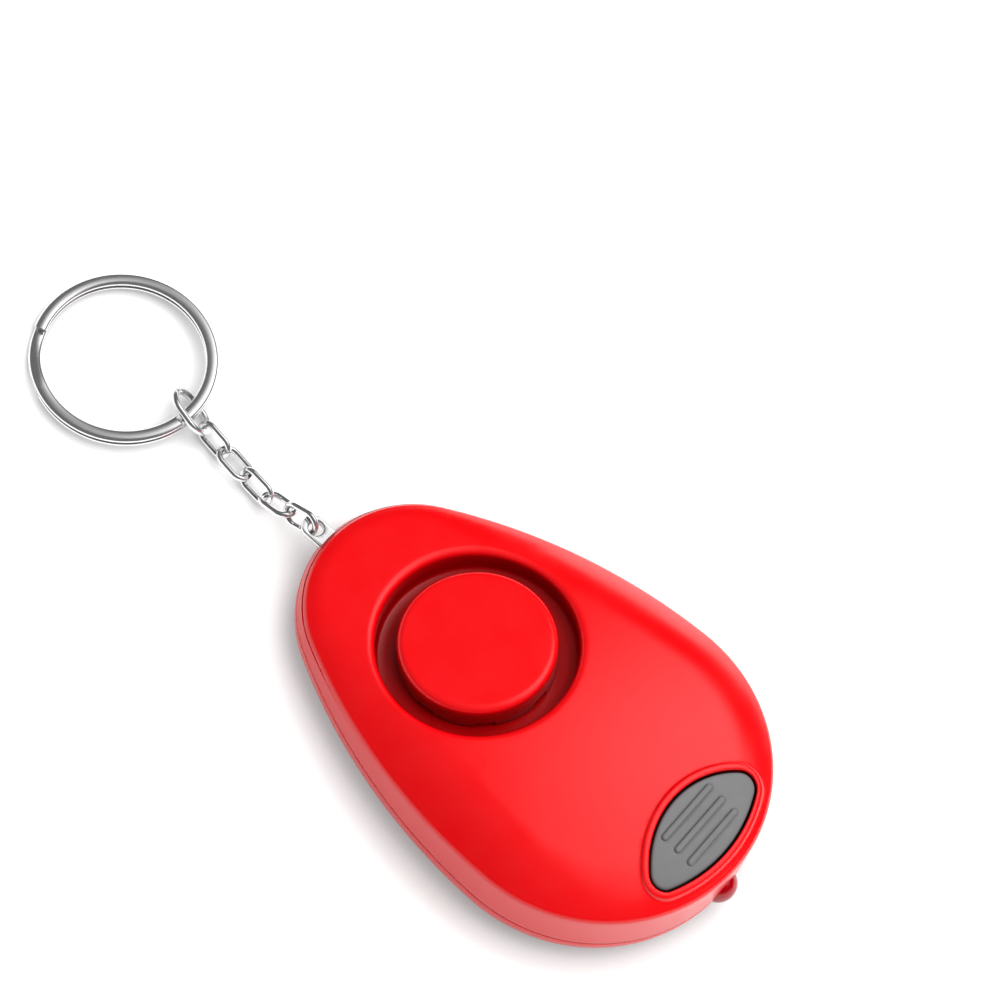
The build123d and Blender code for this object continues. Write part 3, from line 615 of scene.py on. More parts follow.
@dataclass
class Case:
    """Two red covers and the openings that both share.

    Args:
        outer: Outer form of the case.
        inner: Inner form of the top cover.
        siren: Axis of the siren recess.
        leaf: Plan outline of the light button.
        seam: Height of the top cover's lower edge.
        seam_gap: Dark line between the covers.
        ring_count: Points round the outline.
        leaf_count: Points round the button's opening.
        round_count: Points round the recess.
        edge: Bevel of the edges at the seam.
        edge_share: Where the middle row of such a bevel lies.
        band_steps: Rows of the side band.
        band_top: Share of the band below the rounded crease.
        crease_round: How far the rounded crease runs inwards.
        crease_steps: Rows of the rounded crease.
        crease_dip: How far its first row lies outwards and down.
        crease_margin: How far past the crease the last two rows lie.
        recess_radius: Radius of the recess.
        recess_depth: Depth of the recess.
        recess_floor: Thickness of its floor.
        recess_wall: Thickness of its wall.
        recess_corner: Inset and rise of the rows at its lower corner.
        floor_shares: Radii of the rows across its floor, as shares.
        lip_round: Radius of the recess's lip.
        lip_steps: Rows of the lip.
        leaf_gap: Gap round the button.
        leaf_wall: Where the rows of the opening's wall lie between the skins.
        rim_profile: Growth and lift of the rows of the raised rim.
        spacing: Spacing of the outer and inner skins' vertices.
        inner_margin: How far past its crease the inner skin's last row lies.
        back_round: Radius of the back's edge.
        back_steps: Rows of the back's edge, outside and inside.
        floor: Thickness of the back.
        floor_inset: Inset of the last rows of the flat back.
        tongue: Outer inset, inner inset and height of the tongue inside the seam.
        tongue_edge: Bevel of the tongue.
        shoulder: Height, drop and run of the shoulder inside the tongue.
        screw_places: Places of the screws on the +Y side.
        screw_recess: Radius and depth of a screw's recess.
        screw_hole: Radius and height of a screw's hole.
        sound_holes: How many sound holes the floor has.
        sound_hole: Radius of a sound hole and its distance from the middle.
        pin_hole: Radius of the hole for the disc's pin.
        slot: Width and height of the pull pin's slot.
        slot_corner: Radius of its corners.
        slot_reach: How far the slot's cutter goes in.
        lamp_hole: Radius of the lamp's hole.
        lamp_height: Height of the lamp's axis.
        lamp_reach: How far the lamp's cutter goes in.
    """

    outer: DomeForm = DomeForm()
    inner: DomeForm = DomeForm(wall=WALL)
    siren: SirenAxis = SirenAxis()
    leaf: LeafOutline = LeafOutline()
    seam: float = SEAM_HEIGHT
    seam_gap: float = 0.0001
    ring_count: int = 420
    leaf_count: int = 220
    round_count: int = 240
    edge: float = 0.00012
    edge_share: float = 0.3
    band_steps: int = 9
    band_top: float = 0.93
    crease_round: float = 0.00045
    crease_steps: int = 6
    crease_dip: Point2 = (0.00005, 0.0005)
    crease_margin: Point2 = (0.0006, 0.00075)
    recess_radius: float = 0.013
    recess_depth: float = RECESS_DEPTH
    recess_floor: float = 0.0012
    recess_wall: float = 0.0014
    recess_corner: tuple[Point2, ...] = (
        (0.0, 0.0012),
        (0.0, 0.0004),
        (0.0001, 0.00015),
        (0.0004, 0.0),
        (0.0015, 0.0),
    )
    floor_shares: Point2 = (0.6, 0.2)
    lip_round: float = 0.0011
    lip_steps: int = 9
    leaf_gap: float = 0.00025
    leaf_wall: Point2 = (0.15, 1.0)
    rim_profile: tuple[Point2, ...] = (
        (0.00135, 0.0),
        (0.00128, 0.00003),
        (0.00122, 0.00010),
        (0.00117, 0.00021),
        (0.00110, 0.00031),
        (0.00100, 0.00037),
        (0.00086, 0.00040),
        (0.00066, 0.00040),
        (0.00048, 0.00038),
        (0.00036, 0.00032),
        (0.00028, 0.00022),
        (0.00025, 0.00008),
    )
    spacing: Point2 = (0.00042, 0.0012)
    inner_margin: float = 0.0004
    back_round: float = 0.0045
    back_steps: tuple[int, int] = (16, 8)
    floor: float = 0.0015
    floor_inset: float = 0.009
    tongue: Size3 = (0.00232, 0.00322, 0.0012)
    tongue_edge: float = 0.0001
    shoulder: Size3 = (0.0008, 0.0012, 0.0006)
    screw_places: tuple[Point2, ...] = ((-0.023, 0.00798), (0.008, 0.01594))
    screw_recess: Point2 = (0.00215, 0.0012)
    screw_hole: Point2 = (0.00106, 0.003)
    sound_holes: int = 6
    sound_hole: Point2 = (0.0011, 0.006)
    pin_hole: float = 0.00162
    slot: Point2 = (0.00344, 0.00144)
    slot_corner: float = 0.0002
    slot_reach: float = 0.006
    lamp_hole: float = 0.00262
    lamp_height: float = LAMP_HEIGHT
    lamp_reach: float = 0.007

    def egg_row(self, inset: float, height: Callable[[float, float], float]) -> list[Vector]:
        """Ring round the case at an inset, on a surface."""
        ring = self.outer.outline.ring(self.ring_count, inset)
        return [Vector((x, y, height(x, y))) for x, y in ring]

    def leaf_row(self, grow: float, height: Callable[[float, float], float]) -> list[Vector]:
        """Ring round the button's opening, grown by an amount, on a surface."""
        ring = self.leaf.ring(self.leaf_count, grow)
        return [Vector((x, y, height(x, y))) for x, y in ring]

    def band_rows(self) -> list[list[Vector]]:
        """Rings of the side band, from the seam up over the rounded crease."""
        form, edge, seam = self.outer, self.edge, self.seam
        part = edge * self.edge_share
        bevel = ((edge, 0), (part, part), (0, edge))
        rows = [self.egg_row(inset, lambda x, y, up=rise: seam + up) for inset, rise in bevel]
        for step in range(1, self.band_steps):
            share = step / self.band_steps * self.band_top
            inset = form.crease_inset * share
            rows.append(self.egg_row(inset, lambda x, y, s=share: seam + (form.crease(x) - seam) * s))
        run = self.crease_round
        rise = run / math.tan(form.roll_draft)
        out, down = self.crease_dip
        for step in range(self.crease_steps + 1):
            share = step / self.crease_steps
            rest = (1 - share) ** 2
            inset = form.crease_inset + run * share * share - out * rest
            lift = rise * share * share - down * rest
            rows.append(self.egg_row(inset, lambda x, y, up=lift: form.crease(x) + up))
        past = (form.crease_inset + margin for margin in self.crease_margin)
        return rows + [self.egg_row(inset, form.height) for inset in past]

    def round_row(self, surface: DomeForm, radius: float, drop: float = 0.0) -> list[Vector]:
        """Ring round the recess's axis, at a drop below a surface."""
        row = []
        for number in range(self.round_count):
            angle = 2 * math.pi * number / self.round_count
            rise = self.siren.rise_of(surface, radius, angle) - drop
            row.append(self.siren.place(radius, angle, rise))
        return row

    def recess_rows(self) -> list[list[Vector]]:
        """Rings of the siren recess, from its rounded lip in to the middle of its floor."""
        radius, base = self.recess_radius, -self.recess_depth
        lip = reversed(quarter_round(self.lip_round, self.lip_steps))
        rows = [self.round_row(self.outer, radius + out, drop) for out, drop in lip]
        floor = [(radius - inset, base + rise) for inset, rise in self.recess_corner]
        floor += [(radius * share, base) for share in self.floor_shares]
        return rows + [self.siren.ring(reach, rise, self.round_count) for reach, rise in floor]

    def build_top(self) -> bpy.types.Object:
        """Weaves the top cover, outside and inside, and cuts its holes.

        Returns:
            The top cover.
        """
        weave = Weave()
        outer, inner = self.outer, self.inner
        inner_crease = inner.crease_inset + inner.wall
        inner_inset = inner_crease + self.inner_margin
        inner_rows = [
            self.egg_row(inner_inset, inner.height),
            self.egg_row(inner_crease, inner.height),
            self.egg_row(inner.wall, lambda x, y: self.seam),
        ]
        numbers = weave.rings(inner_rows + self.band_rows())
        inner_edge, outer_edge = numbers[0], numbers[-1]
        outer_inset = outer.crease_inset + self.crease_margin[-1]

        recess = weave.rings(self.recess_rows())
        weave.cap(recess[-1], self.siren.place(0, 0, -self.recess_depth))

        rim = [
            self.leaf_row(grow, lambda x, y, up=lift: outer.height(x, y) + up)
            for grow, lift in self.rim_profile
        ]

        def between(share: float) -> Callable[[float, float], float]:
            """Surface at a share of the way from the outer skin to the inner one."""
            return lambda x, y: outer.height(x, y) * (1 - share) + inner.height(x, y) * share

        wall = [self.leaf_row(self.leaf_gap, between(share)) for share in self.leaf_wall]
        leaf = weave.rings(rim + wall)

        cup_radius = self.recess_radius + self.recess_wall
        base = -self.recess_depth - self.recess_floor
        reaches = (cup_radius / 2, cup_radius)
        cup_rows = [self.siren.ring(reach, base, self.round_count) for reach in reaches]
        cup = weave.rings([*cup_rows, self.round_row(inner, cup_radius)])
        weave.cap(cup[0], self.siren.place(0, 0, base), up=False)

        lip_radius = self.recess_radius + self.lip_round
        rim_grow = self.rim_profile[0][0]

        def outer_inside(x: float, y: float) -> float:
            """How far within the outer skin's open space a place lies."""
            return min(
                outer.outline.inset_at(x, y) - outer_inset,
                self.siren.radius_at(outer, x, y) - lip_radius,
                self.leaf.grow_at(x, y) - rim_grow,
            )

        def inner_inside(x: float, y: float) -> float:
            """How far within the inner skin's open space a place lies."""
            return min(
                outer.outline.inset_at(x, y) - inner_inset,
                self.siren.radius_at(inner, x, y) - cup_radius,
                self.leaf.grow_at(x, y) - self.leaf_gap,
            )

        outer_spacing, inner_spacing = self.spacing
        weave.fill([outer_edge, recess[0], leaf[0]], outer_inside, outer_spacing, outer.height)
        weave.fill([inner_edge, cup[-1], leaf[-1]], inner_inside, inner_spacing, inner.height, up=False)
        top = weave.mesh("top_cover_shell")
        radius, away = self.sound_hole
        cutters = [*self.wall_cutters(), self.sound_cutter(0.0, self.pin_hole)]
        for number in range(self.sound_holes):
            cutters.append(self.sound_cutter(2 * math.pi * number / self.sound_holes, radius, away))
        carve(top, cutters)
        return top

    def sound_cutter(self, angle: float, radius: float, away: float = 0.0) -> bpy.types.Object:
        """Round cutter through the recess floor."""
        start = self.siren.place(away, angle, -self.recess_depth - self.recess_floor - OVERRUN)
        end = self.siren.place(away, angle, -self.recess_depth + OVERRUN)
        return prism("cutter", circle(radius, SMALL_ROUND), start, end, Vector((0, 1, 0)))

    def wall_cutters(self) -> list[bpy.types.Object]:
        """Cutters of the pull pin's slot and the lamp's hole."""
        end = self.outer.outline.length / 2
        slot = rounded_box(*self.slot, self.slot_corner)
        hole = circle(self.lamp_hole, FINE_ROUND)
        cutters = []
        for ring, height, start, stop in (
            (slot, self.seam, -end - OVERRUN, -end + self.slot_reach),
            (hole, self.lamp_height, end - self.lamp_reach, end + OVERRUN),
        ):
            places = Vector((start, 0, height)), Vector((stop, 0, height))
            cutters.append(prism("cutter", ring, *places, Vector((0, 1, 0))))
        return cutters

    def back_profile(self) -> list[Point2]:
        """Inset and height of the back cover's rows, from outside under it to inside on its floor."""
        top, edge, wall = self.seam - self.seam_gap, self.edge, self.inner.wall
        part = edge * self.edge_share
        outside = quarter_round(self.back_round, self.back_steps[0])
        inside = quarter_round(self.back_round - wall, self.back_steps[1])
        start, end, rise = self.tongue
        bevel = self.tongue_edge
        shelf, drop, run = self.shoulder
        return [
            (self.floor_inset, 0.0),
            *((inset, height) for height, inset in outside),
            (0.0, top - edge),
            (part, top - part),
            (edge, top),
            (start, top),
            (start, top + rise - bevel),
            (start + bevel, top + rise),
            (end - bevel, top + rise),
            (end, top + rise - bevel),
            (end, top - shelf),
            (end - run, top - drop),
            (wall, top - drop),
            *((wall + inset, self.floor + up) for inset, up in inside),
            (self.floor_inset, self.floor),
        ]

    def build_back(self) -> bpy.types.Object:
        """Weaves the back cover and cuts its screw recesses and wall openings.

        Returns:
            The back cover.
        """
        weave = Weave()
        rows = [self.egg_row(inset, lambda x, y, z=height: z) for inset, height in self.back_profile()]
        numbers = weave.rings(rows)
        weave.cap(numbers[0], Vector((0, 0, 0)), up=False)
        weave.cap(numbers[-1], Vector((0, 0, self.floor)))
        back = weave.mesh("back_cover_shell")
        cutters = self.wall_cutters()
        recess = (self.screw_recess, 2 * SMALL_ROUND)
        hole = (self.screw_hole, SMALL_ROUND)
        for x, y in self.screw_places:
            for side in (1, -1):
                for (radius, depth), count in (recess, hole):
                    start, end = Vector((x, side * y, -OVERRUN)), Vector((x, side * y, depth))
                    cutters.append(prism("cutter", circle(radius, count), start, end, Vector((1, 0, 0))))
        carve(back, cutters)
        return back


@dataclass
class SirenDisc:
    """Raised round cap in the middle of the recess.

    Args:
        axis: Axis of the siren recess.
        radius: Radius of the disc.
        foot: Rise of its foot, on the recess floor.
        foot_edge: Bevel of the foot.
        top: Rise of its flat top.
        edge: Radius of its rounded edge.
        edge_steps: Rows of the rounded edge.
        wall_rows: How far the wall's rows lie above the foot and below the rounded edge.
        crown: How far the middle of the top stands above its edge.
        shares: Radii of the rows across the top, as shares.
        round_count: Points round the disc.
        notches: How many sound notches its foot has.
        notch: Width and height of a notch.
        notch_corner: Radius of a notch's corners.
        notch_reach: How far a notch goes in.
    """

    axis: SirenAxis = SirenAxis()
    radius: float = 0.0103
    foot: float = -RECESS_DEPTH
    foot_edge: float = 0.00015
    top: float = -0.0001
    edge: float = 0.001
    edge_steps: int = 10
    wall_rows: Point2 = (0.0012, 0.0003)
    crown: float = 0.00003
    shares: tuple[float, ...] = (0.96, 0.9, 0.8, 0.65, 0.5, 0.35, 0.2, 0.08)
    round_count: int = 240
    notches: int = 8
    notch: Point2 = (0.0026, 0.001)
    notch_corner: float = 0.0003
    notch_reach: float = 0.0017

    def build(self) -> bpy.types.Object:
        """Weaves the disc and cuts its notches.

        Returns:
            The disc.
        """
        radius, foot, top = self.radius, self.foot, self.top
        above, below = self.wall_rows
        flat = radius - self.edge
        profile = [
            (radius / 2, foot),
            (radius - self.foot_edge, foot),
            (radius, foot + self.foot_edge),
            (radius, foot + above),
            (radius, top - self.edge - below),
            *((radius - inset, top - drop) for inset, drop in quarter_round(self.edge, self.edge_steps)),
            *((flat * share, top + self.crown * (1 - share * share)) for share in self.shares),
        ]
        weave = Weave()
        numbers = weave.rings([self.axis.ring(reach, rise, self.round_count) for reach, rise in profile])
        weave.cap(numbers[0], self.axis.place(0, 0, foot), up=False)
        weave.cap(numbers[-1], self.axis.place(0, 0, top + self.crown))
        disc = weave.mesh("siren_disc")
        width, height = self.notch
        section = rounded_box(2 * height, width, self.notch_corner)
        cutters = []
        for number in range(self.notches):
            angle = 2 * math.pi * number / self.notches
            start = self.axis.place(radius - self.notch_reach, angle, foot)
            end = self.axis.place(radius + OVERRUN, angle, foot)
            cutters.append(prism("cutter", section, start, end, self.axis.up()))
        carve(disc, cutters)
        return disc


@dataclass
class LightButton:
    """Grey leaf-shaped button with three ribs.

    Args:
        outer: Outer form of the case.
        inner: Inner form of the top cover.
        leaf: Plan outline of the button.
        proud: How far its top stands above the case's form.
        foot: Height of the underside of its flange.
        flange: How far the flange reaches under the case.
        flange_gap: Gap between the flange and the case's inner form.
        stem: Place, radius and lower end of the stem.
        rib_places: Where each rib crosses the long axis.
        rib_size: Length and width of a rib.
        rib_rows: Growth and lift of a rib's rows, from its foot to its top.
        edge_rows: Growth and drop of the rows of the rounded edge.
        spacing: Spacing of the vertices on the top and on a rib.
        count: Points round the button.
    """

    outer: DomeForm = DomeForm()
    inner: DomeForm = DomeForm(wall=WALL)
    leaf: LeafOutline = LeafOutline()
    proud: float = 0.00015
    foot: float = 0.0122
    flange: float = 0.0008
    flange_gap: float = 0.00012
    stem: Size3 = (0.023, 0.0013, 0.0078)
    rib_places: Size3 = (0.0242, 0.0264, 0.0286)
    rib_size: Point2 = (0.0098, 0.00085)
    rib_rows: tuple[Point2, ...] = (
        (0.00016, 0.0),
        (0.0001, -0.00004),
        (0.00004, -0.00005),
        (0.0, 0.00002),
        (-0.00003, 0.00013),
        (-0.00009, 0.00021),
        (-0.00018, 0.00025),
        (-0.0003, 0.00026),
    )
    edge_rows: tuple[Point2, ...] = (
        (0.0, 0.0008),
        (0.0, 0.00045),
        (-0.00002, 0.0003),
        (-0.00007, 0.00017),
        (-0.00015, 0.00008),
        (-0.00026, 0.00002),
        (-0.0004, 0.0),
    )
    spacing: Point2 = (0.0003, 0.00025)
    count: int = 220

    def top(self, x: float, y: float) -> float:
        """Height of the button's top."""
        return self.outer.height(x, y) + self.proud

    def rib_ring(self, x: float, grow: float, count: int = FINE_ROUND) -> list[Point2]:
        """Points round a rib's rounded bar, grown outwards."""
        length, width = self.rib_size
        radius = width / 2 + grow
        reach = (length - width) / 2
        points = []
        for number in range(count):
            angle = math.pi * (2 * number + 1) / count
            shift = reach if math.sin(angle) > 0 else -reach
            points.append((x + radius * math.cos(angle), shift + radius * math.sin(angle)))
        return points

    def rib_grow(self, x: float, y: float) -> float:
        """How far outside the nearest rib a place lies, below zero on it."""
        length, width = self.rib_size
        reach = (length - width) / 2
        beyond = max(abs(y) - reach, 0.0)
        return min(math.hypot(x - rib, beyond) for rib in self.rib_places) - width / 2

    def build(self) -> bpy.types.Object:
        """Weaves the button's cap, flange, stem and ribs.

        Returns:
            The button.
        """
        weave = Weave()
        x, radius, bottom = self.stem
        stem = [Vector((x + a, b, bottom)) for a, b in circle(radius, self.count)]
        rows = [stem, [Vector((p.x, p.y, self.foot)) for p in stem]]

        def leaf(grow: float, height: Callable[[float, float], float]) -> list[Vector]:
            """Ring round the button at a growth, on a surface."""
            return [Vector((a, b, height(a, b))) for a, b in self.leaf.ring(self.count, grow)]

        rows.append(leaf(self.flange, lambda a, b: self.foot))
        for grow in (self.flange, 0.0):
            rows.append(leaf(grow, lambda a, b: self.inner.height(a, b) - self.flange_gap))
        for grow, drop in self.edge_rows:
            rows.append(leaf(grow, lambda a, b, d=drop: self.top(a, b) - d))
        numbers = weave.rings(rows)
        weave.cap(numbers[0], Vector((x, 0, bottom)), up=False)
        borders = [numbers[-1]]
        top_spacing, rib_spacing = self.spacing
        rib_edge, rib_top = self.rib_rows[-1]
        for place in self.rib_places:
            rib = []
            for grow, lift in self.rib_rows:
                points = self.rib_ring(place, grow)
                rib.append([Vector((a, b, self.top(a, b) + lift)) for a, b in points])
            ring = weave.rings(rib)
            borders.append(ring[0])
            weave.fill(
                [ring[-1]],
                lambda a, b: rib_edge - self.rib_grow(a, b),
                rib_spacing,
                lambda a, b: self.top(a, b) + rib_top,
            )
        leaf_edge, rib_foot = self.edge_rows[-1][0], self.rib_rows[0][0]
        weave.fill(
            borders,
            lambda a, b: min(leaf_edge - self.leaf.grow_at(a, b), self.rib_grow(a, b) - rib_foot),
            top_spacing,
            self.top,
        )
        return weave.mesh("light_button_cap")


@dataclass
class Lamp:
    """Red clear lamp in the broad end wall.

    Args:
        tip: Where its nose ends along X.
        height: Height of its axis.
        radius: Radius of its body.
        length: Whole length.
        flange: Radius and length of the flange at its base.
        edge: Bevel of the flange and of the body's foot.
        nose_margin: How far behind the round nose the body's last row lies.
        nose_steps: Rows of the round nose.
    """

    tip: float = 0.0354
    height: float = LAMP_HEIGHT
    radius: float = 0.0025
    length: float = 0.0084
    flange: Point2 = (0.0029, 0.001)
    edge: float = 0.0001
    nose_margin: float = 0.001
    nose_steps: int = 17

    def build(self) -> bpy.types.Object:
        """Weaves the lamp as a turned form about its axis.

        Returns:
            The lamp.
        """
        base = self.tip - self.length
        wide, thick = self.flange
        edge, radius = self.edge, self.radius
        nose = quarter_round(radius, self.nose_steps)[:-1]
        profile = [
            (base, wide / 2),
            (base, wide - edge),
            (base + edge, wide),
            (base + thick - edge, wide),
            (base + thick, wide - edge),
            (base + thick, radius + edge),
            (base + thick + edge, radius),
            (self.tip - radius - self.nose_margin, radius),
            *((self.tip - drop, radius - inset) for inset, drop in nose),
        ]
        rows = []
        for x, reach in profile:
            rows.append([Vector((x, a, self.height + b)) for a, b in circle(reach, FINE_ROUND)])
        weave = Weave()
        numbers = weave.rings(rows)
        weave.cap(numbers[0], Vector((base, 0, self.height)), up=False)
        weave.cap(numbers[-1], Vector((self.tip, 0, self.height)))
        return weave.mesh("lamp_lens")


@dataclass
class PullPin:
    """Flat metal tongue with an eye at its outer end.

    Args:
        end: Outer end along X.
        tip: Inner end along X.
        middle: Height of its middle plane.
        width: Width of the tongue.
        thickness: Thickness of the tongue.
        eye: Radius of the eye and width of the wall round it.
        eye_steps: Points round the eye.
        edge: Radius of its rounded edges.
        edge_steps: Rows of a rounded edge.
        taper: Length and thickness of the tapered tip.
        tip_corner: Radius of the tip's corners in plan.
        end_flat: Half of the straight stretch at the outer end.
        spacing: Spacing of the flat faces' vertices.
    """

    end: float = -0.03775
    tip: float = -0.0252
    middle: float = SEAM_HEIGHT
    width: float = 0.0032
    thickness: float = 0.0012
    eye: Point2 = (0.001, 0.00095)
    eye_steps: int = 72
    edge: float = 0.00022
    edge_steps: int = 5
    taper: Point2 = (0.003, 0.0005)
    tip_corner: float = 0.0008
    end_flat: float = 0.00012
    spacing: float = 0.0004

    def top(self, x: float) -> float:
        """Height of the upper face, which slopes down to the tip."""
        length, thin = self.taper
        share = max((x - self.tip + length) / length, 0.0)
        return self.middle + self.thickness / 2 - (self.thickness - thin) * share

    def outline(self, inset: float, steps: int = 24) -> list[Point2]:
        """Points round the tongue, drawn in by an inset, anticlockwise."""
        points = []
        end_corner = self.width / 2 - self.end_flat
        corners = (
            (self.tip, 1, self.tip_corner, 0.0),
            (self.end, 1, end_corner, 0.5),
            (self.end, -1, end_corner, 1.0),
            (self.tip, -1, self.tip_corner, 1.5),
        )
        for x, side, radius, turn in corners:
            centre_x = x - radius if x == self.tip else x + radius
            centre_y = side * (self.width / 2 - radius)
            for step in range(steps + 1):
                angle = math.pi * (turn + 0.5 * step / steps)
                points.append(
                    (
                        centre_x + (radius - inset) * math.cos(angle),
                        centre_y + (radius - inset) * math.sin(angle),
                    )
                )
        return points

    def build(self) -> bpy.types.Object:
        """Weaves the tongue with rounded edges and its eye.

        Returns:
            The pull pin.
        """
        weave = Weave()
        base = self.middle - self.thickness / 2
        eye_radius, eye_wall = self.eye
        eye_x = self.end + eye_wall + eye_radius

        def row(points: Sequence[Point2], share: float, sink: float) -> list[Vector]:
            """Ring between the lower face and the upper one, sunk from the nearer."""
            low = base + sink
            return [Vector((x, y, low + (self.top(x) - base - 2 * sink) * share)) for x, y in points]

        def hole(grow: float) -> list[Point2]:
            """Ring round the eye."""
            return [(eye_x + x, y) for x, y in circle(eye_radius + grow, self.eye_steps)]

        up_round = quarter_round(self.edge, self.edge_steps)
        down_round = list(reversed(up_round))
        outside = [row(self.outline(inset), 0.0, sink) for inset, sink in down_round]
        outside += [row(self.outline(inset), 1.0, sink) for inset, sink in up_round]
        inside = [row(hole(inset), 1.0, sink) for inset, sink in down_round]
        inside += [row(hole(inset), 0.0, sink) for inset, sink in up_round]
        outer = weave.rings(outside)
        inner = weave.rings(inside)

        def within(x: float, y: float) -> float:
            """How far within the flat faces a place lies."""
            from_side = self.width / 2 - self.edge - abs(y)
            return min(from_side, math.hypot(x - eye_x, y) - eye_radius - self.edge)

        weave.fill([outer[-1], inner[0]], within, self.spacing, lambda x, y: self.top(x))
        weave.fill([outer[0], inner[-1]], within, self.spacing, lambda x, y: base, up=False)
        return weave.mesh("pull_pin_tongue")


# Node trees


class Nodes:
    """Node tree of any kind, with short ways to add its nodes."""

    def __init__(self, tree: bpy.types.NodeTree) -> None:
        """Holds the tree.

        Args:
            tree: The nodes of a material, a world or a group.
        """
        self.tree = tree

    def node(
        self, kind: str, inputs: dict[str | int, object] | None = None, **settings: object
    ) -> bpy.types.Node:
        """Adds a node.

        Args:
            kind: The node's kind.
            inputs: Values or sockets for its inputs.
            settings: Its own settings.

        Returns:
            The node.
        """
        made = self.tree.nodes.new(kind)
        for name, value in settings.items():
            setattr(made, name, value)
        self.feed(made, inputs or {})
        return made

    def feed(self, node: bpy.types.Node, inputs: dict[str | int, object]) -> None:
        """Gives a node's inputs their values or sockets."""
        for name, value in inputs.items():
            if isinstance(value, bpy.types.NodeSocket):
                self.tree.links.new(value, node.inputs[name])
            else:
                node.inputs[name].default_value = value

    def math(self, operation: str, first: object, second: object = 0.0) -> bpy.types.NodeSocket:
        """Adds a sum, product or other simple operation and gives its result."""
        return self.node("ShaderNodeMath", {0: first, 1: second}, operation=operation).outputs[0]

    def split(self, place: bpy.types.NodeSocket) -> bpy.types.NodeOutputs:
        """Gives the three parts of a vector."""
        return self.node("ShaderNodeSeparateXYZ", {0: place}).outputs

    def span(
        self, value: object, span: Sequence[object], curve: str = "SMOOTHSTEP"
    ) -> bpy.types.NodeSocket:
        """Carries a value from one range to another.

        Args:
            value: The value.
            span: Start and end of its range, then of the result's.
            curve: How the result runs between its ends.

        Returns:
            The result.
        """
        inputs = {0: value, **dict(enumerate(span, 1))}
        return self.node("ShaderNodeMapRange", inputs, interpolation_type=curve).outputs[0]

    def mix(self, share: object, first: object, second: object) -> bpy.types.NodeSocket:
        """Mixes two numbers."""
        return self.node("ShaderNodeMix", {0: share, 2: first, 3: second}).outputs[0]

    def blend(self, share: object, first: object, second: object) -> bpy.types.NodeSocket:
        """Mixes two colours."""
        return self.node("ShaderNodeMix", {0: share, 6: first, 7: second}, data_type="RGBA").outputs[2]

    def cloud(self, scale: object, detail: float) -> bpy.types.NodeSocket:
        """Gives noise that stays with the piece."""
        place = self.node("ShaderNodeTexCoord").outputs["Object"]
        inputs = {"Vector": place, "Scale": scale, "Detail": detail}
        return self.node("ShaderNodeTexNoise", inputs).outputs[0]

    def group(self, name: str, values: dict[str, object]) -> bpy.types.NodeSocket:
        """Adds a shared effect and gives its result."""
        return self.node("ShaderNodeGroup", values, node_tree=bpy.data.node_groups[name]).outputs[0]


# Chain and key ring, grown by Geometry Nodes


class GrowingTree(Nodes):
    """Geometry Nodes tree with named inputs."""

    def __init__(self, name: str) -> None:
        """Starts an empty tree.

        Args:
            name: The tree's name.
        """
        super().__init__(bpy.data.node_groups.new(name, "GeometryNodeTree"))
        self.tree.interface.new_socket("Geometry", in_out="OUTPUT", socket_type="NodeSocketGeometry")
        self.inputs = self.tree.nodes.new("NodeGroupInput")
        self.outputs = self.tree.nodes.new("NodeGroupOutput")
        self.keys: dict[str, str] = {}

    def entry(self, name: str, kind: str = "Float") -> bpy.types.NodeSocket:
        """Adds a named input.

        Args:
            name: The input's name.
            kind: Its kind of socket.

        Returns:
            The socket that gives its value inside the tree.
        """
        socket = self.tree.interface.new_socket(name, in_out="INPUT", socket_type=f"NodeSocket{kind}")
        self.keys[name] = socket.identifier
        return self.inputs.outputs[name]

    def step(self, kind: str, inputs: dict[str, object], **settings: object) -> bpy.types.NodeSocket:
        """Adds a node that works on geometry and gives what it makes."""
        return self.node(f"GeometryNode{kind}", inputs, **settings).outputs[0]

    def here(self) -> bpy.types.NodeOutputs:
        """Gives the three parts of each point's place."""
        return self.split(self.node("GeometryNodeInputPosition").outputs[0])

    def close(self, geometry: bpy.types.NodeSocket) -> None:
        """Moves what the tree has made to its place and ends it in smooth faces of one material.

        Args:
            geometry: What the tree has made, about the origin.
        """
        place = self.entry("Place", "Vector")
        turn = self.entry("Turn", "Rotation")
        metal = self.entry("Material", "Material")
        moved = self.step("Transform", {"Geometry": geometry, "Translation": place, "Rotation": turn})
        smooth = self.step("SetShadeSmooth", {"Geometry": moved})
        real = self.step("RealizeInstances", {"Geometry": smooth})
        dressed = self.step("SetMaterial", {"Geometry": real, "Material": metal})
        self.tree.links.new(dressed, self.outputs.inputs["Geometry"])

    def grow(self, name: str, values: dict[str, object]) -> bpy.types.Object:
        """Makes a plain mesh object from the tree.

        Args:
            name: The object's name.
            values: A value for each named input.

        Returns:
            The object, with no modifier left on it.
        """
        piece = show(name, bpy.data.meshes.new(name))
        modifier = piece.modifiers.new("grow", "NODES")
        modifier.node_group = self.tree
        for key, value in values.items():
            modifier[self.keys[key]] = value
        settle(piece)
        face_outwards(piece.data)
        piece.data.name = name
        return piece


def face_outwards(data: bpy.types.Mesh) -> None:
    """Turns a closed mesh the right way out, if it is inside out."""
    shell = bmesh.new()
    shell.from_mesh(data)
    if shell.calc_volume(signed=True) < 0:
        bmesh.ops.reverse_faces(shell, faces=shell.faces)
        shell.to_mesh(data)
    shell.free()


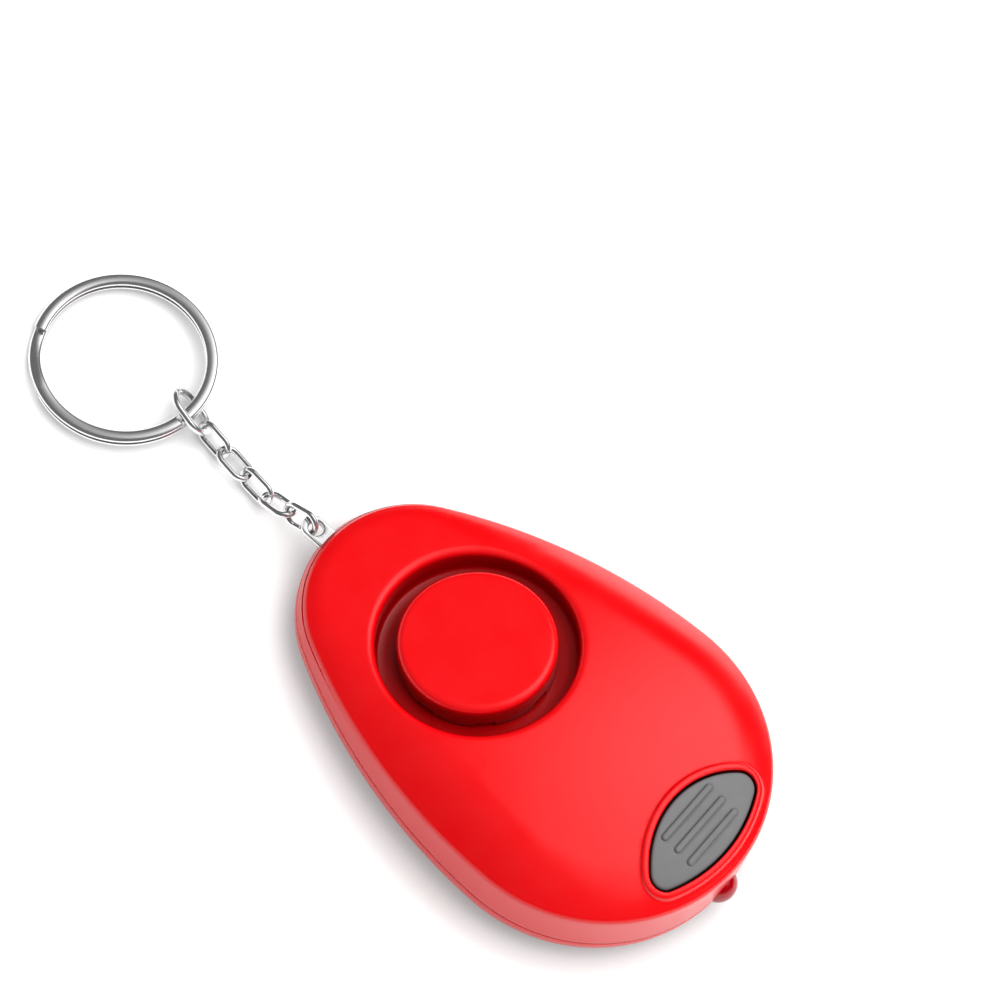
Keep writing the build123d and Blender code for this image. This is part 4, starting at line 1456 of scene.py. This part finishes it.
def link_tree(bend_steps: int = 72, wire_steps: int = 28) -> GrowingTree:
    """Tree of a closed oval link of round wire.

    Args:
        bend_steps: Points round the link.
        wire_steps: Points round the wire.

    Returns:
        The tree.
    """
    made = GrowingTree("oval_link")
    length, width, wire = (made.entry(name) for name in ("Length", "Width", "Wire"))
    bend = made.math("MULTIPLY", made.math("SUBTRACT", width, wire), 0.5)
    reach = made.math("MULTIPLY", made.math("SUBTRACT", length, width), 0.5)
    ring = made.step("CurvePrimitiveCircle", {"Resolution": bend_steps, "Radius": bend})
    past = made.math("COMPARE", made.math("SIGN", made.here()[0]), 1.0)
    side = made.math("SUBTRACT", made.math("MULTIPLY", past, 2.0), 1.0)
    shift = made.node("ShaderNodeCombineXYZ", {0: made.math("MULTIPLY", side, reach)})
    oval = made.step("SetPosition", {"Geometry": ring, "Offset": shift.outputs[0]})
    profile = made.step(
        "CurvePrimitiveCircle", {"Resolution": wire_steps, "Radius": made.math("MULTIPLY", wire, 0.5)}
    )
    made.close(made.step("CurveToMesh", {"Curve": oval, "Profile Curve": profile}))
    return made


def ring_tree(path_steps: int = 420, band_steps: int = 64, corner_steps: int = 5) -> GrowingTree:
    """Tree of a key ring: a crowned band that goes twice round and steps down once.

    Args:
        path_steps: Points along the band.
        band_steps: Points round the band's section.
        corner_steps: Points round each of its corners.

    Returns:
        The tree.
    """
    made = GrowingTree("key_ring")
    sizes = (made.entry(name) for name in ("Radius", "Band", "Thickness", "Corner", "Crown"))
    radius, band, thickness, corner, crown = sizes
    rise, start, ramp, shift = (made.entry(name) for name in ("Rise", "Start", "Ramp", "Shift"))
    line = made.step("CurvePrimitiveLine", {"End": (1.0, 0.0, 0.0)})
    fine = made.step("ResampleCurve", {"Curve": line, "Count": path_steps})
    along = made.node("GeometryNodeSplineParameter").outputs["Factor"]
    angle = made.math("MULTIPLY", start, made.math("SUBTRACT", 1.0, made.math("MULTIPLY", along, 2.0)))
    turned = made.math("ADD", angle, shift)
    ends = (made.math("MULTIPLY", ramp, -1.0), ramp, made.math("MULTIPLY", rise, -1.0), rise)
    spot = made.node(
        "ShaderNodeCombineXYZ",
        {
            0: made.math("MULTIPLY", made.math("COSINE", turned), radius),
            1: made.math("MULTIPLY", made.math("SINE", turned), radius),
            2: made.span(angle, ends),
        },
    )
    path = made.step("SetPosition", {"Geometry": fine, "Position": spot.outputs[0]})
    level = made.step("SetCurveNormal", {"Curve": path}, mode="Z_UP")
    flat = made.step("CurvePrimitiveQuadrilateral", {"Width": band, "Height": thickness})
    corners = {"Radius": corner, "Limit Radius": True, "Count": corner_steps}
    rounded = made.step("FilletCurve", {"Curve": flat, **corners}, mode="POLY")
    profile = made.step("ResampleCurve", {"Curve": rounded, "Count": band_steps})
    across = made.here()
    share = made.math("DIVIDE", across[0], band)
    fall = made.math("MULTIPLY", made.math("MULTIPLY", share, share), crown)
    sink = made.node("ShaderNodeCombineXYZ", {1: made.math("MULTIPLY", across[1], fall)})
    crowned = made.step("SetPosition", {"Geometry": profile, "Offset": sink.outputs[0]})
    made.close(made.step("CurveToMesh", {"Curve": level, "Profile Curve": crowned, "Fill Caps": True}))
    return made


@dataclass
class Chain:
    """Five links, the jump ring and the key ring, laid away from the case.

    Args:
        start: Middle of the eye's wall, where the first link hangs.
        link: Length, width and wire of a link.
        gap: Play between neighbours.
        lean: Lean of a link about the chain, in degrees.
        slopes: How steeply each link runs down, in degrees.
        headings: How far each link is turned in plan, in degrees.
        jump: Length, width and wire of the jump ring.
        jump_turn: Lean, slope and heading of the jump ring, in degrees.
        ring: Outer radius, band, turn thickness, gap and corner of the key ring.
        ring_crown: How much thinner the band gets to its edges, below zero for thinner.
        ring_turn: Lean and heading of the key ring, in degrees.
        ring_sweep: Start, half ramp and place of the ramp on the key ring's path, in degrees.
    """

    start: Size3 = (-0.037275, 0.0, SEAM_HEIGHT)
    link: Size3 = (0.006, 0.0038, 0.00085)
    gap: float = 0.0001
    lean: float = 22.0
    slopes: tuple[float, ...] = (26.0, 26.0, 2.0, 1.0, 0.0)
    headings: tuple[float, ...] = (0.0, 6.0, 6.0, 8.0, 8.0)
    jump: Size3 = (0.0075, 0.0059, 0.001)
    jump_turn: Size3 = (45.0, -15.0, 8.0)
    ring: tuple[float, float, float, float, float] = (0.01245, 0.00168, 0.00089, 0.00006, 0.0004)
    ring_crown: float = -1.1
    ring_turn: tuple[float, float] = (4.0, -2.0)
    ring_sweep: Size3 = (337.0, 20.0, -136.0)

    @staticmethod
    def direction(slope: float, heading: float) -> Vector:
        """Unit vector away from the case, sloping down and turned in plan, from degrees."""
        down, turn = math.radians(slope), math.radians(heading)
        level = math.cos(down)
        return Vector((-level * math.cos(turn), level * math.sin(turn), -math.sin(down)))

    @staticmethod
    def leaning(along: Vector, lean: float) -> Matrix:
        """Axes of a link that runs along a direction and leans about it, from degrees."""
        level = along.cross(Vector((0, 0, 1))).normalized()
        upright = level.cross(along).normalized()
        normal = upright * math.cos(math.radians(lean)) + level * math.sin(math.radians(lean))
        return Matrix((along, normal.cross(along), normal)).transposed()

    def build(self, metal: bpy.types.Material) -> list[bpy.types.Object]:
        """Grows every link and ring where the chain lies.

        Args:
            metal: Their finish.

        Returns:
            The links, the jump ring and the key ring.
        """
        tree = link_tree()
        length, width, wire = self.link
        reach = (length - wire) / 2
        along = self.direction(self.slopes[0], self.headings[0])
        place = Vector(self.start) + along * (length - width) / 2
        pieces = []

        def grow(name: str, size: Size3, middle: Vector, axes: Matrix) -> None:
            """Grows a link of a size at a place."""
            sizes = dict(zip(("Length", "Width", "Wire"), size))
            values = {**sizes, "Place": middle, "Turn": axes.to_euler(), "Material": metal}
            pieces.append(tree.grow(name, values))

        for number, (slope, heading) in enumerate(zip(self.slopes, self.headings)):
            if number:
                onward = self.direction(slope, heading)
                place = place + along * reach + onward * (reach - wire - self.gap)
                along = onward
            across = 90 if number % 2 == 0 else 0
            grow(f"link_{number + 1}", self.link, place, self.leaning(along, self.lean + across))
        jump_length, _, jump_wire = self.jump
        lean, slope, heading = self.jump_turn
        onward = self.direction(slope, heading)
        jump_reach = (jump_length - jump_wire) / 2
        middle = place + along * reach + onward * (jump_reach - (wire + jump_wire) / 2 - self.gap)
        grow("jump_link", self.jump, middle, self.leaning(onward, lean))
        pieces.append(self.build_ring(middle, metal))
        return pieces

    def build_ring(self, jump: Vector, metal: bpy.types.Material) -> bpy.types.Object:
        """Grows the key ring, hung in the jump ring.

        Args:
            jump: Middle of the jump ring.
            metal: Its finish.

        Returns:
            The key ring.
        """
        radius, band, thickness, gap, corner = self.ring
        along = self.direction(*self.ring_turn)
        normal = along.cross(Vector((0, 0, 1))).cross(along).normalized()
        turn = Matrix((-along, normal.cross(-along), normal)).transposed().to_euler()
        start, ramp, shift = (math.radians(angle) for angle in self.ring_sweep)
        values = {
            "Radius": radius - band / 2,
            "Band": band,
            "Thickness": thickness,
            "Corner": corner,
            "Crown": self.ring_crown,
            "Rise": (thickness + gap) / 2,
            "Start": start,
            "Ramp": ramp,
            "Shift": shift,
            "Place": jump + along * (radius - band / 2),
            "Turn": turn,
            "Material": metal,
        }
        return ring_tree().grow("key_ring", values)


# Finishes


class Effect(Nodes):
    """Shader group that several finishes share, with one result."""

    def __init__(
        self, name: str, entries: dict[str, float | tuple[float, ...]], result: str, kind: str
    ) -> None:
        """Starts the group.

        Args:
            name: The group's name.
            entries: Default of each named input, a number or a colour.
            result: The result's name.
            kind: The result's kind of socket.
        """
        super().__init__(bpy.data.node_groups.new(name, "ShaderNodeTree"))
        for entry, value in entries.items():
            socket_kind = "Color" if isinstance(value, tuple) else "Float"
            socket = self.tree.interface.new_socket(
                entry, in_out="INPUT", socket_type=f"NodeSocket{socket_kind}"
            )
            socket.default_value = value
        self.tree.interface.new_socket(result, in_out="OUTPUT", socket_type=f"NodeSocket{kind}")
        self.entries = self.tree.nodes.new("NodeGroupInput").outputs
        self.results = self.tree.nodes.new("NodeGroupOutput").inputs

    def close(self, result: bpy.types.NodeSocket) -> None:
        """Ends the group in its result."""
        self.tree.links.new(result, self.results[0])


MID_GREY = (0.5, 0.5, 0.5, 1.0)
BLACK = (0.0, 0.0, 0.0, 1.0)
WHITE = (1.0, 1.0, 1.0, 1.0)


def tone_drift(edges: Point2 = (0.3, 0.7), detail: float = 3.0) -> None:
    """Makes the slow change of tone across a moulded or plated surface.

    Args:
        edges: Values of the noise where the tones begin and end to mix.
        detail: Detail of the noise.
    """
    made = Effect(
        "tone_drift", {"Base": MID_GREY, "Tone": MID_GREY, "Size": 60.0, "Amount": 0.3}, "Color", "Color"
    )
    base, tone, size, amount = (made.entries[name] for name in ("Base", "Tone", "Size", "Amount"))
    soft = made.span(made.cloud(size, detail), (*edges, 0.0, amount), "LINEAR")
    made.close(made.blend(soft, base, tone))


def crevice_shade(edges: Point2 = (0.25, 0.9), samples: int = 8) -> None:
    """Makes the darker tone of narrow grooves, where little light gets in.

    Args:
        edges: Openness at the darkest and at the unchanged end.
        samples: Rays that measure the openness.
    """
    made = Effect("crevice_shade", {"Color": MID_GREY, "Depth": 0.004, "Dark": 0.5}, "Color", "Color")
    color, depth, dark = (made.entries[name] for name in ("Color", "Depth", "Dark"))
    sky = made.node("ShaderNodeAmbientOcclusion", {"Distance": depth}, samples=samples)
    share = made.span(sky.outputs["AO"], (*edges, dark, 0.0))
    made.close(made.blend(share, color, BLACK))


def gloss_drift(edges: Point2 = (0.35, 0.65), detail: float = 4.0) -> None:
    """Makes the fine change of roughness from handling and from the mould.

    Args:
        edges: Values of the noise at the lowest and the highest roughness.
        detail: Detail of the noise.
    """
    made = Effect("gloss_drift", {"Low": 0.2, "High": 0.3, "Size": 300.0}, "Roughness", "Float")
    low, high, size = (made.entries[name] for name in ("Low", "High", "Size"))
    made.close(made.span(made.cloud(size, detail), (*edges, low, high), "LINEAR"))


def mould_grain(grain_detail: float = 2.0, ripple_detail: float = 1.0) -> None:
    """Makes the height of a fine grain with a slower ripple in it.

    Args:
        grain_detail: Detail of the grain's noise.
        ripple_detail: Detail of the ripple's noise.
    """
    made = Effect("mould_grain", {"Size": 4000.0, "Ripple": 120.0, "Share": 0.2}, "Height", "Float")
    size, ripple, share = (made.entries[name] for name in ("Size", "Ripple", "Share"))
    made.close(made.mix(share, made.cloud(size, grain_detail), made.cloud(ripple, ripple_detail)))


@dataclass(frozen=True)
class Finish:
    """One material of the alarm.

    Args:
        name: The material's name.
        color: Its main colour, linear.
        tone: The colour that it drifts to.
        drift: How far it drifts, and the drift's scale.
        gloss: Lowest and highest roughness, and their scale.
        metallic: One for bare metal.
        grain: Scale of the grain and height of its bump in metres.
        ripple: Scale of the slow ripple and its share.
        crevice: Reach of the groove shade in metres and how dark it gets.
    """

    name: str
    color: Color
    tone: Color
    drift: Point2 = (0.3, 60.0)
    gloss: Size3 = (0.2, 0.3, 300.0)
    metallic: float = 0.0
    grain: Point2 = (4000.0, 0.000002)
    ripple: Point2 = (120.0, 0.05)
    crevice: Point2 = (0.004, 0.3)

    def build(self) -> bpy.types.Material:
        """Makes the material from the shared effects.

        Returns:
            The material.
        """
        material = bpy.data.materials.new(self.name)
        material.use_nodes = True
        made = Nodes(material.node_tree)
        amount, size = self.drift
        colors = {"Base": (*self.color, 1.0), "Tone": (*self.tone, 1.0)}
        tone = made.group("tone_drift", {**colors, "Amount": amount, "Size": size})
        gloss = made.group("gloss_drift", dict(zip(("Low", "High", "Size"), self.gloss)))
        grain_size, grain_height = self.grain
        ripple, share = self.ripple
        grain = made.group("mould_grain", {"Size": grain_size, "Ripple": ripple, "Share": share})
        bump = made.node("ShaderNodeBump", {"Height": grain, "Strength": 1.0, "Distance": grain_height})
        depth, dark = self.crevice
        shade = made.group("crevice_shade", {"Color": tone, "Depth": depth, "Dark": dark})
        looks = {"Base Color": shade, "Roughness": gloss, "Metallic": self.metallic}
        made.feed(material.node_tree.nodes["Principled BSDF"], {**looks, "Normal": bump.outputs[0]})
        return material


class Slot(Enum):
    """Material slots of the alarm, each with its finish."""

    RED_PLASTIC = Finish(
        "red_plastic",
        (0.93, 0.0008, 0.004),
        (0.89, 0.0006, 0.003),
        drift=(0.15, 60.0),
        gloss=(0.22, 0.27, 260.0),
        crevice=(0.007, 0.68),
    )
    GREY_RUBBER = Finish(
        "grey_rubber",
        (0.175, 0.172, 0.175),
        (0.155, 0.153, 0.156),
        gloss=(0.42, 0.52, 500.0),
        crevice=(0.0016, 0.75),
    )
    LAMP_RED = Finish("lamp_red", (0.42, 0.0, 0.006), (0.30, 0.0, 0.004), gloss=(0.08, 0.14, 300.0))
    CHROME = Finish(
        "chrome",
        (0.92, 0.92, 0.925),
        (0.86, 0.86, 0.865),
        gloss=(0.09, 0.16, 500.0),
        metallic=0.86,
        grain=(3000.0, 0.0000005),
    )
    BRASS = Finish(
        "brass", (0.72, 0.50, 0.20), (0.62, 0.42, 0.16), gloss=(0.22, 0.34, 500.0), metallic=1.0
    )
    CERAMIC = Finish("ceramic", (0.80, 0.78, 0.72), (0.74, 0.72, 0.66), gloss=(0.45, 0.6, 500.0))
    BLACK_RUBBER = Finish(
        "black_rubber", (0.02, 0.02, 0.02), (0.03, 0.03, 0.03), gloss=(0.55, 0.7, 500.0)
    )
    BOARD_GREEN = Finish(
        "board_green", (0.02, 0.16, 0.06), (0.015, 0.12, 0.05), gloss=(0.25, 0.4, 400.0)
    )
    CELL_STEEL = Finish(
        "cell_steel", (0.62, 0.62, 0.60), (0.55, 0.55, 0.53), gloss=(0.2, 0.3, 500.0), metallic=1.0
    )
    CONTACT_METAL = Finish(
        "contact_metal", (0.72, 0.66, 0.50), (0.64, 0.58, 0.44), gloss=(0.24, 0.36, 500.0), metallic=1.0
    )
    BLACK_PLASTIC = Finish(
        "black_plastic", (0.018, 0.018, 0.02), (0.026, 0.026, 0.028), gloss=(0.35, 0.5, 500.0)
    )
    FERRITE = Finish("ferrite", (0.05, 0.05, 0.055), (0.035, 0.035, 0.04), gloss=(0.5, 0.65, 600.0))
    COPPER = Finish(
        "copper", (0.72, 0.30, 0.15), (0.60, 0.24, 0.12), gloss=(0.25, 0.4, 900.0), metallic=1.0
    )
    CAPACITOR_SLEEVE = Finish(
        "capacitor_sleeve", (0.02, 0.03, 0.10), (0.015, 0.02, 0.07), gloss=(0.3, 0.4, 400.0)
    )
    WIRE_RED = Finish("wire_red", (0.55, 0.01, 0.01), (0.45, 0.008, 0.008), gloss=(0.35, 0.45, 500.0))
    WIRE_BLACK = Finish(
        "wire_black", (0.02, 0.02, 0.02), (0.028, 0.028, 0.028), gloss=(0.35, 0.45, 500.0)
    )
    SCREW_STEEL = Finish(
        "screw_steel", (0.52, 0.52, 0.53), (0.44, 0.44, 0.45), gloss=(0.25, 0.4, 700.0), metallic=1.0
    )


CAD_FINISHES = {
    "piezo_plate": Slot.BRASS,
    "piezo_ceramic": Slot.CERAMIC,
    "piezo_gasket": Slot.BLACK_RUBBER,
    "circuit_board": Slot.BOARD_GREEN,
    "battery_cell": Slot.CELL_STEEL,
    "battery_contact_plus": Slot.CONTACT_METAL,
    "battery_contact_minus": Slot.CONTACT_METAL,
    "fixed_contact": Slot.CONTACT_METAL,
    "moving_contact": Slot.CONTACT_METAL,
    "contact_post": Slot.CONTACT_METAL,
    "light_switch_body": Slot.BLACK_PLASTIC,
    "light_switch_plunger": Slot.BLACK_PLASTIC,
    "siren_driver": Slot.BLACK_PLASTIC,
    "boost_coil_core": Slot.FERRITE,
    "boost_coil_winding": Slot.COPPER,
    "transistor": Slot.BLACK_PLASTIC,
    "capacitor": Slot.CAPACITOR_SLEEVE,
    "chip_resistors": Slot.BLACK_PLASTIC,
    "led_leads": Slot.CONTACT_METAL,
    "piezo_wire_red": Slot.WIRE_RED,
    "piezo_wire_black": Slot.WIRE_BLACK,
    "case_screws": Slot.SCREW_STEEL,
    "board_screws": Slot.SCREW_STEEL,
}


# Floor, light and camera


@dataclass
class Studio:
    """White floor, one large soft light and the photograph's view.

    Args:
        floor_size: Side of the square floor.
        key_place: Where the soft light hangs.
        key_size: Side of the soft light.
        key_power: Its power in watts.
        fill: Heights of the surroundings and their brightness as a light there.
        side: Brightness that reflections see, from the chain's side to the lamp's.
        level: How much of it is left, from low down to overhead.
        away: How much of it is left, from the camera's side to the far side.
        low: Brightness that reflections see near the horizon.
        front: How much of that is left, from the camera's side to the far side.
        shade_reach: How far from the object the floor is shaded, in metres.
        shade_samples: Rays that measure the floor's openness.
        shade_edges: Openness of the floor beside the object and in the open.
        shadowed_glow: Floor's emission to the eye at those ends, dimmed beside the object as painted
            shadow.
        shadowed_paint: Floor's colour at those ends, darker beside the object as painted shadow.
        eye: Where the camera stands.
        right: Direction across its picture.
        up: Direction up its picture.
        back: Direction from the object to it.
        lens: Focal length in millimetres.
        sensor: Width of its sensor in millimetres.
    """

    floor_size: float = 6.0
    key_place: Size3 = (0.30, 0.32, 0.84)
    key_size: float = 1.1
    key_power: float = 10.4
    fill: Span = (0.1, 0.9, 0.12, 0.62)
    side: Span = (-0.5, 0.1, 0.0, 2.1)
    level: Span = (0.45, 0.8, 0.0, 1.0)
    away: Span = (-0.1, 0.6, 0.0, 1.0)
    low: Span = (0.08, 0.28, 0.9, 0.02)
    front: Span = (0.0, 0.4, 1.0, 0.1)
    shade_reach: float = 0.011
    shade_samples: int = 16
    shade_edges: Point2 = (0.45, 0.95)
    shadowed_glow: Point2 = (0.28, 0.56)
    shadowed_paint: Point2 = (0.5, 0.86)
    eye: Size3 = (0.03005, -0.17017, 0.42105)
    right: Size3 = (0.7506, 0.6308, 0.1968)
    up: Size3 = (-0.6513, 0.6561, 0.3813)
    back: Size3 = (0.1114, -0.4144, 0.9033)
    lens: float = 126.27
    sensor: float = 36.0

    def build(self) -> None:
        """Lays the floor, hangs the light, sets the surroundings and stands the camera."""
        self.lay_floor()
        self.hang_light()
        self.set_surroundings()
        self.stand_camera()

    def lay_floor(self) -> None:
        """Lays a white floor that shows white where it is lit and keeps the shadow."""
        half = self.floor_size / 2
        weave = Weave()
        corners = ((-half, -half), (half, -half), (half, half), (-half, half))
        weave.faces.append(tuple(weave.ring([Vector((x, y, 0)) for x, y in corners])))
        floor = weave.mesh("floor")
        floor.data.materials.append(self.paint_floor())

    def paint_floor(self) -> bpy.types.Material:
        """Makes the floor's material, which glows to the eye and in reflections alone; beside the object
        its emission and colour are darkened as painted shadow.

        Returns:
            The material.
        """
        material = bpy.data.materials.new("floor_white")
        material.use_nodes = True
        tree = material.node_tree
        tree.nodes.remove(tree.nodes["Principled BSDF"])
        made = Nodes(tree)
        # Painted shadow: where the floor is less open beside the object, its emission and colour are
        # darkened.
        reach = {"Distance": self.shade_reach}
        near = made.node("ShaderNodeAmbientOcclusion", reach, samples=self.shade_samples)
        clear = made.span(near.outputs["AO"], (*self.shade_edges, *self.shadowed_glow))
        shadowed_glow = made.node("ShaderNodeEmission", {"Color": WHITE, "Strength": clear})
        shadowed_paint = made.span(near.outputs["AO"], (*self.shade_edges, *self.shadowed_paint), "LINEAR")
        matt = made.node("ShaderNodeBsdfDiffuse", {"Color": shadowed_paint})
        both = made.node("ShaderNodeAddShader", {0: matt.outputs[0], 1: shadowed_glow.outputs[0]})
        path = made.node("ShaderNodeLightPath")
        seen = made.math("MAXIMUM", path.outputs["Is Camera Ray"], path.outputs["Is Glossy Ray"])
        mix = made.node("ShaderNodeMixShader", {0: seen, 1: matt.outputs[0], 2: both.outputs[0]})
        made.feed(tree.nodes["Material Output"], {"Surface": mix.outputs[0]})
        return material

    def hang_light(self) -> None:
        """Hangs the soft light, facing the object."""
        data = bpy.data.lights.new("soft_box", "AREA")
        data.shape = "SQUARE"
        data.size = self.key_size
        data.energy = self.key_power
        light = bpy.data.objects.new("soft_box", data)
        light.location = self.key_place
        light.rotation_euler = Vector(self.key_place).to_track_quat("Z", "Y").to_euler()
        light.visible_glossy = False
        bpy.context.scene.collection.objects.link(light)

    def set_surroundings(self) -> None:
        """Makes the surroundings white to the eye and uneven in reflections."""
        world = bpy.data.worlds.new("surroundings")
        bpy.context.scene.world = world
        world.use_nodes = True
        made = Nodes(world.node_tree)
        x, y, z = made.split(made.node("ShaderNodeTexCoord").outputs["Generated"])
        above = made.math("MULTIPLY", made.span(z, self.level), made.span(y, self.away))
        dome = made.math("MULTIPLY", made.span(x, self.side), above)
        rim = made.math("MULTIPLY", made.span(z, self.low), made.span(y, self.front))
        shine = made.math("ADD", dome, rim)
        path = made.node("ShaderNodeLightPath").outputs
        unseen = made.mix(path["Is Glossy Ray"], made.span(z, self.fill), shine)
        strength = made.mix(path["Is Camera Ray"], unseen, 1.0)
        made.feed(world.node_tree.nodes["Background"], {"Color": WHITE, "Strength": strength})

    def stand_camera(self) -> None:
        """Stands the camera where the photograph was taken from."""
        data = bpy.data.cameras.new("camera")
        data.lens = self.lens
        data.sensor_width = self.sensor
        camera = bpy.data.objects.new("camera", data)
        axes = Matrix((self.right, self.up, self.back)).transposed().to_4x4()
        camera.matrix_world = Matrix.Translation(self.eye) @ axes
        bpy.context.scene.collection.objects.link(camera)
        bpy.context.scene.camera = camera
        bpy.context.scene.view_settings.view_transform = "Standard"


@dataclass
class Alarm:
    """The whole alarm: case, disc, button, lamp, pin, chain and what the frame carries inside.

    Args:
        nodes: The frame's own pieces by name.
        finishes: The materials by slot, made by build.
    """

    nodes: dict[str, bpy.types.Object]
    finishes: dict[Slot, bpy.types.Material] = field(default_factory=dict)

    def build(self) -> None:
        """Makes the finishes and every piece, and fits them to the frame's bodies."""
        for effect in (tone_drift, crevice_shade, gloss_drift, mould_grain):
            effect()
        self.finishes = {slot: slot.value.build() for slot in Slot}
        case = Case()
        self.fit(case.build_top(), "case", Slot.RED_PLASTIC, "top_cover")
        self.fit(case.build_back(), "case", Slot.RED_PLASTIC, "back_cover")
        self.fit(SirenDisc().build(), "case", Slot.RED_PLASTIC, "siren_cap")
        self.fit(LightButton().build(), "light_button", Slot.GREY_RUBBER, "light_button")
        self.fit(Lamp().build(), "case", Slot.LAMP_RED, "led_lamp")
        self.fit(PullPin().build(), "pull_pin", Slot.CHROME, "pull_pin")
        bodies = [f"chain_link_{number + 1}" for number in range(5)] + ["jump_ring", "split_ring"]
        for piece, body in zip(Chain().build(self.finishes[Slot.CHROME]), bodies):
            self.fit(piece, body, Slot.CHROME, body)
        for name, slot in CAD_FINISHES.items():
            data = self.nodes[name].data
            data.materials.clear()
            data.materials.append(self.finishes[slot])
            LOG.info("%s keeps its shape in %s", name, slot.value.name)

    def fit(self, piece: bpy.types.Object, body: str, slot: Slot, node: str) -> None:
        """Dresses a piece and fixes it to its body in place of a node.

        Args:
            piece: The piece.
            body: The body that it rides on.
            slot: Its finish.
            node: The frame's node that it stands for.
        """
        piece.data.materials.clear()
        piece.data.materials.append(self.finishes[slot])
        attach(piece, body)
        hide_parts(node)
        LOG.info("%s: %d faces on %s", piece.name, len(piece.data.polygons), body)


def main() -> None:
    """Loads the frame, dresses the alarm and stands it in the studio."""
    logging.basicConfig(level=logging.INFO, format="%(name)s: %(message)s")
    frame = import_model()
    Alarm(frame["nodes"]).build()
    Studio().build()


if __name__ == "__main__":
    main()
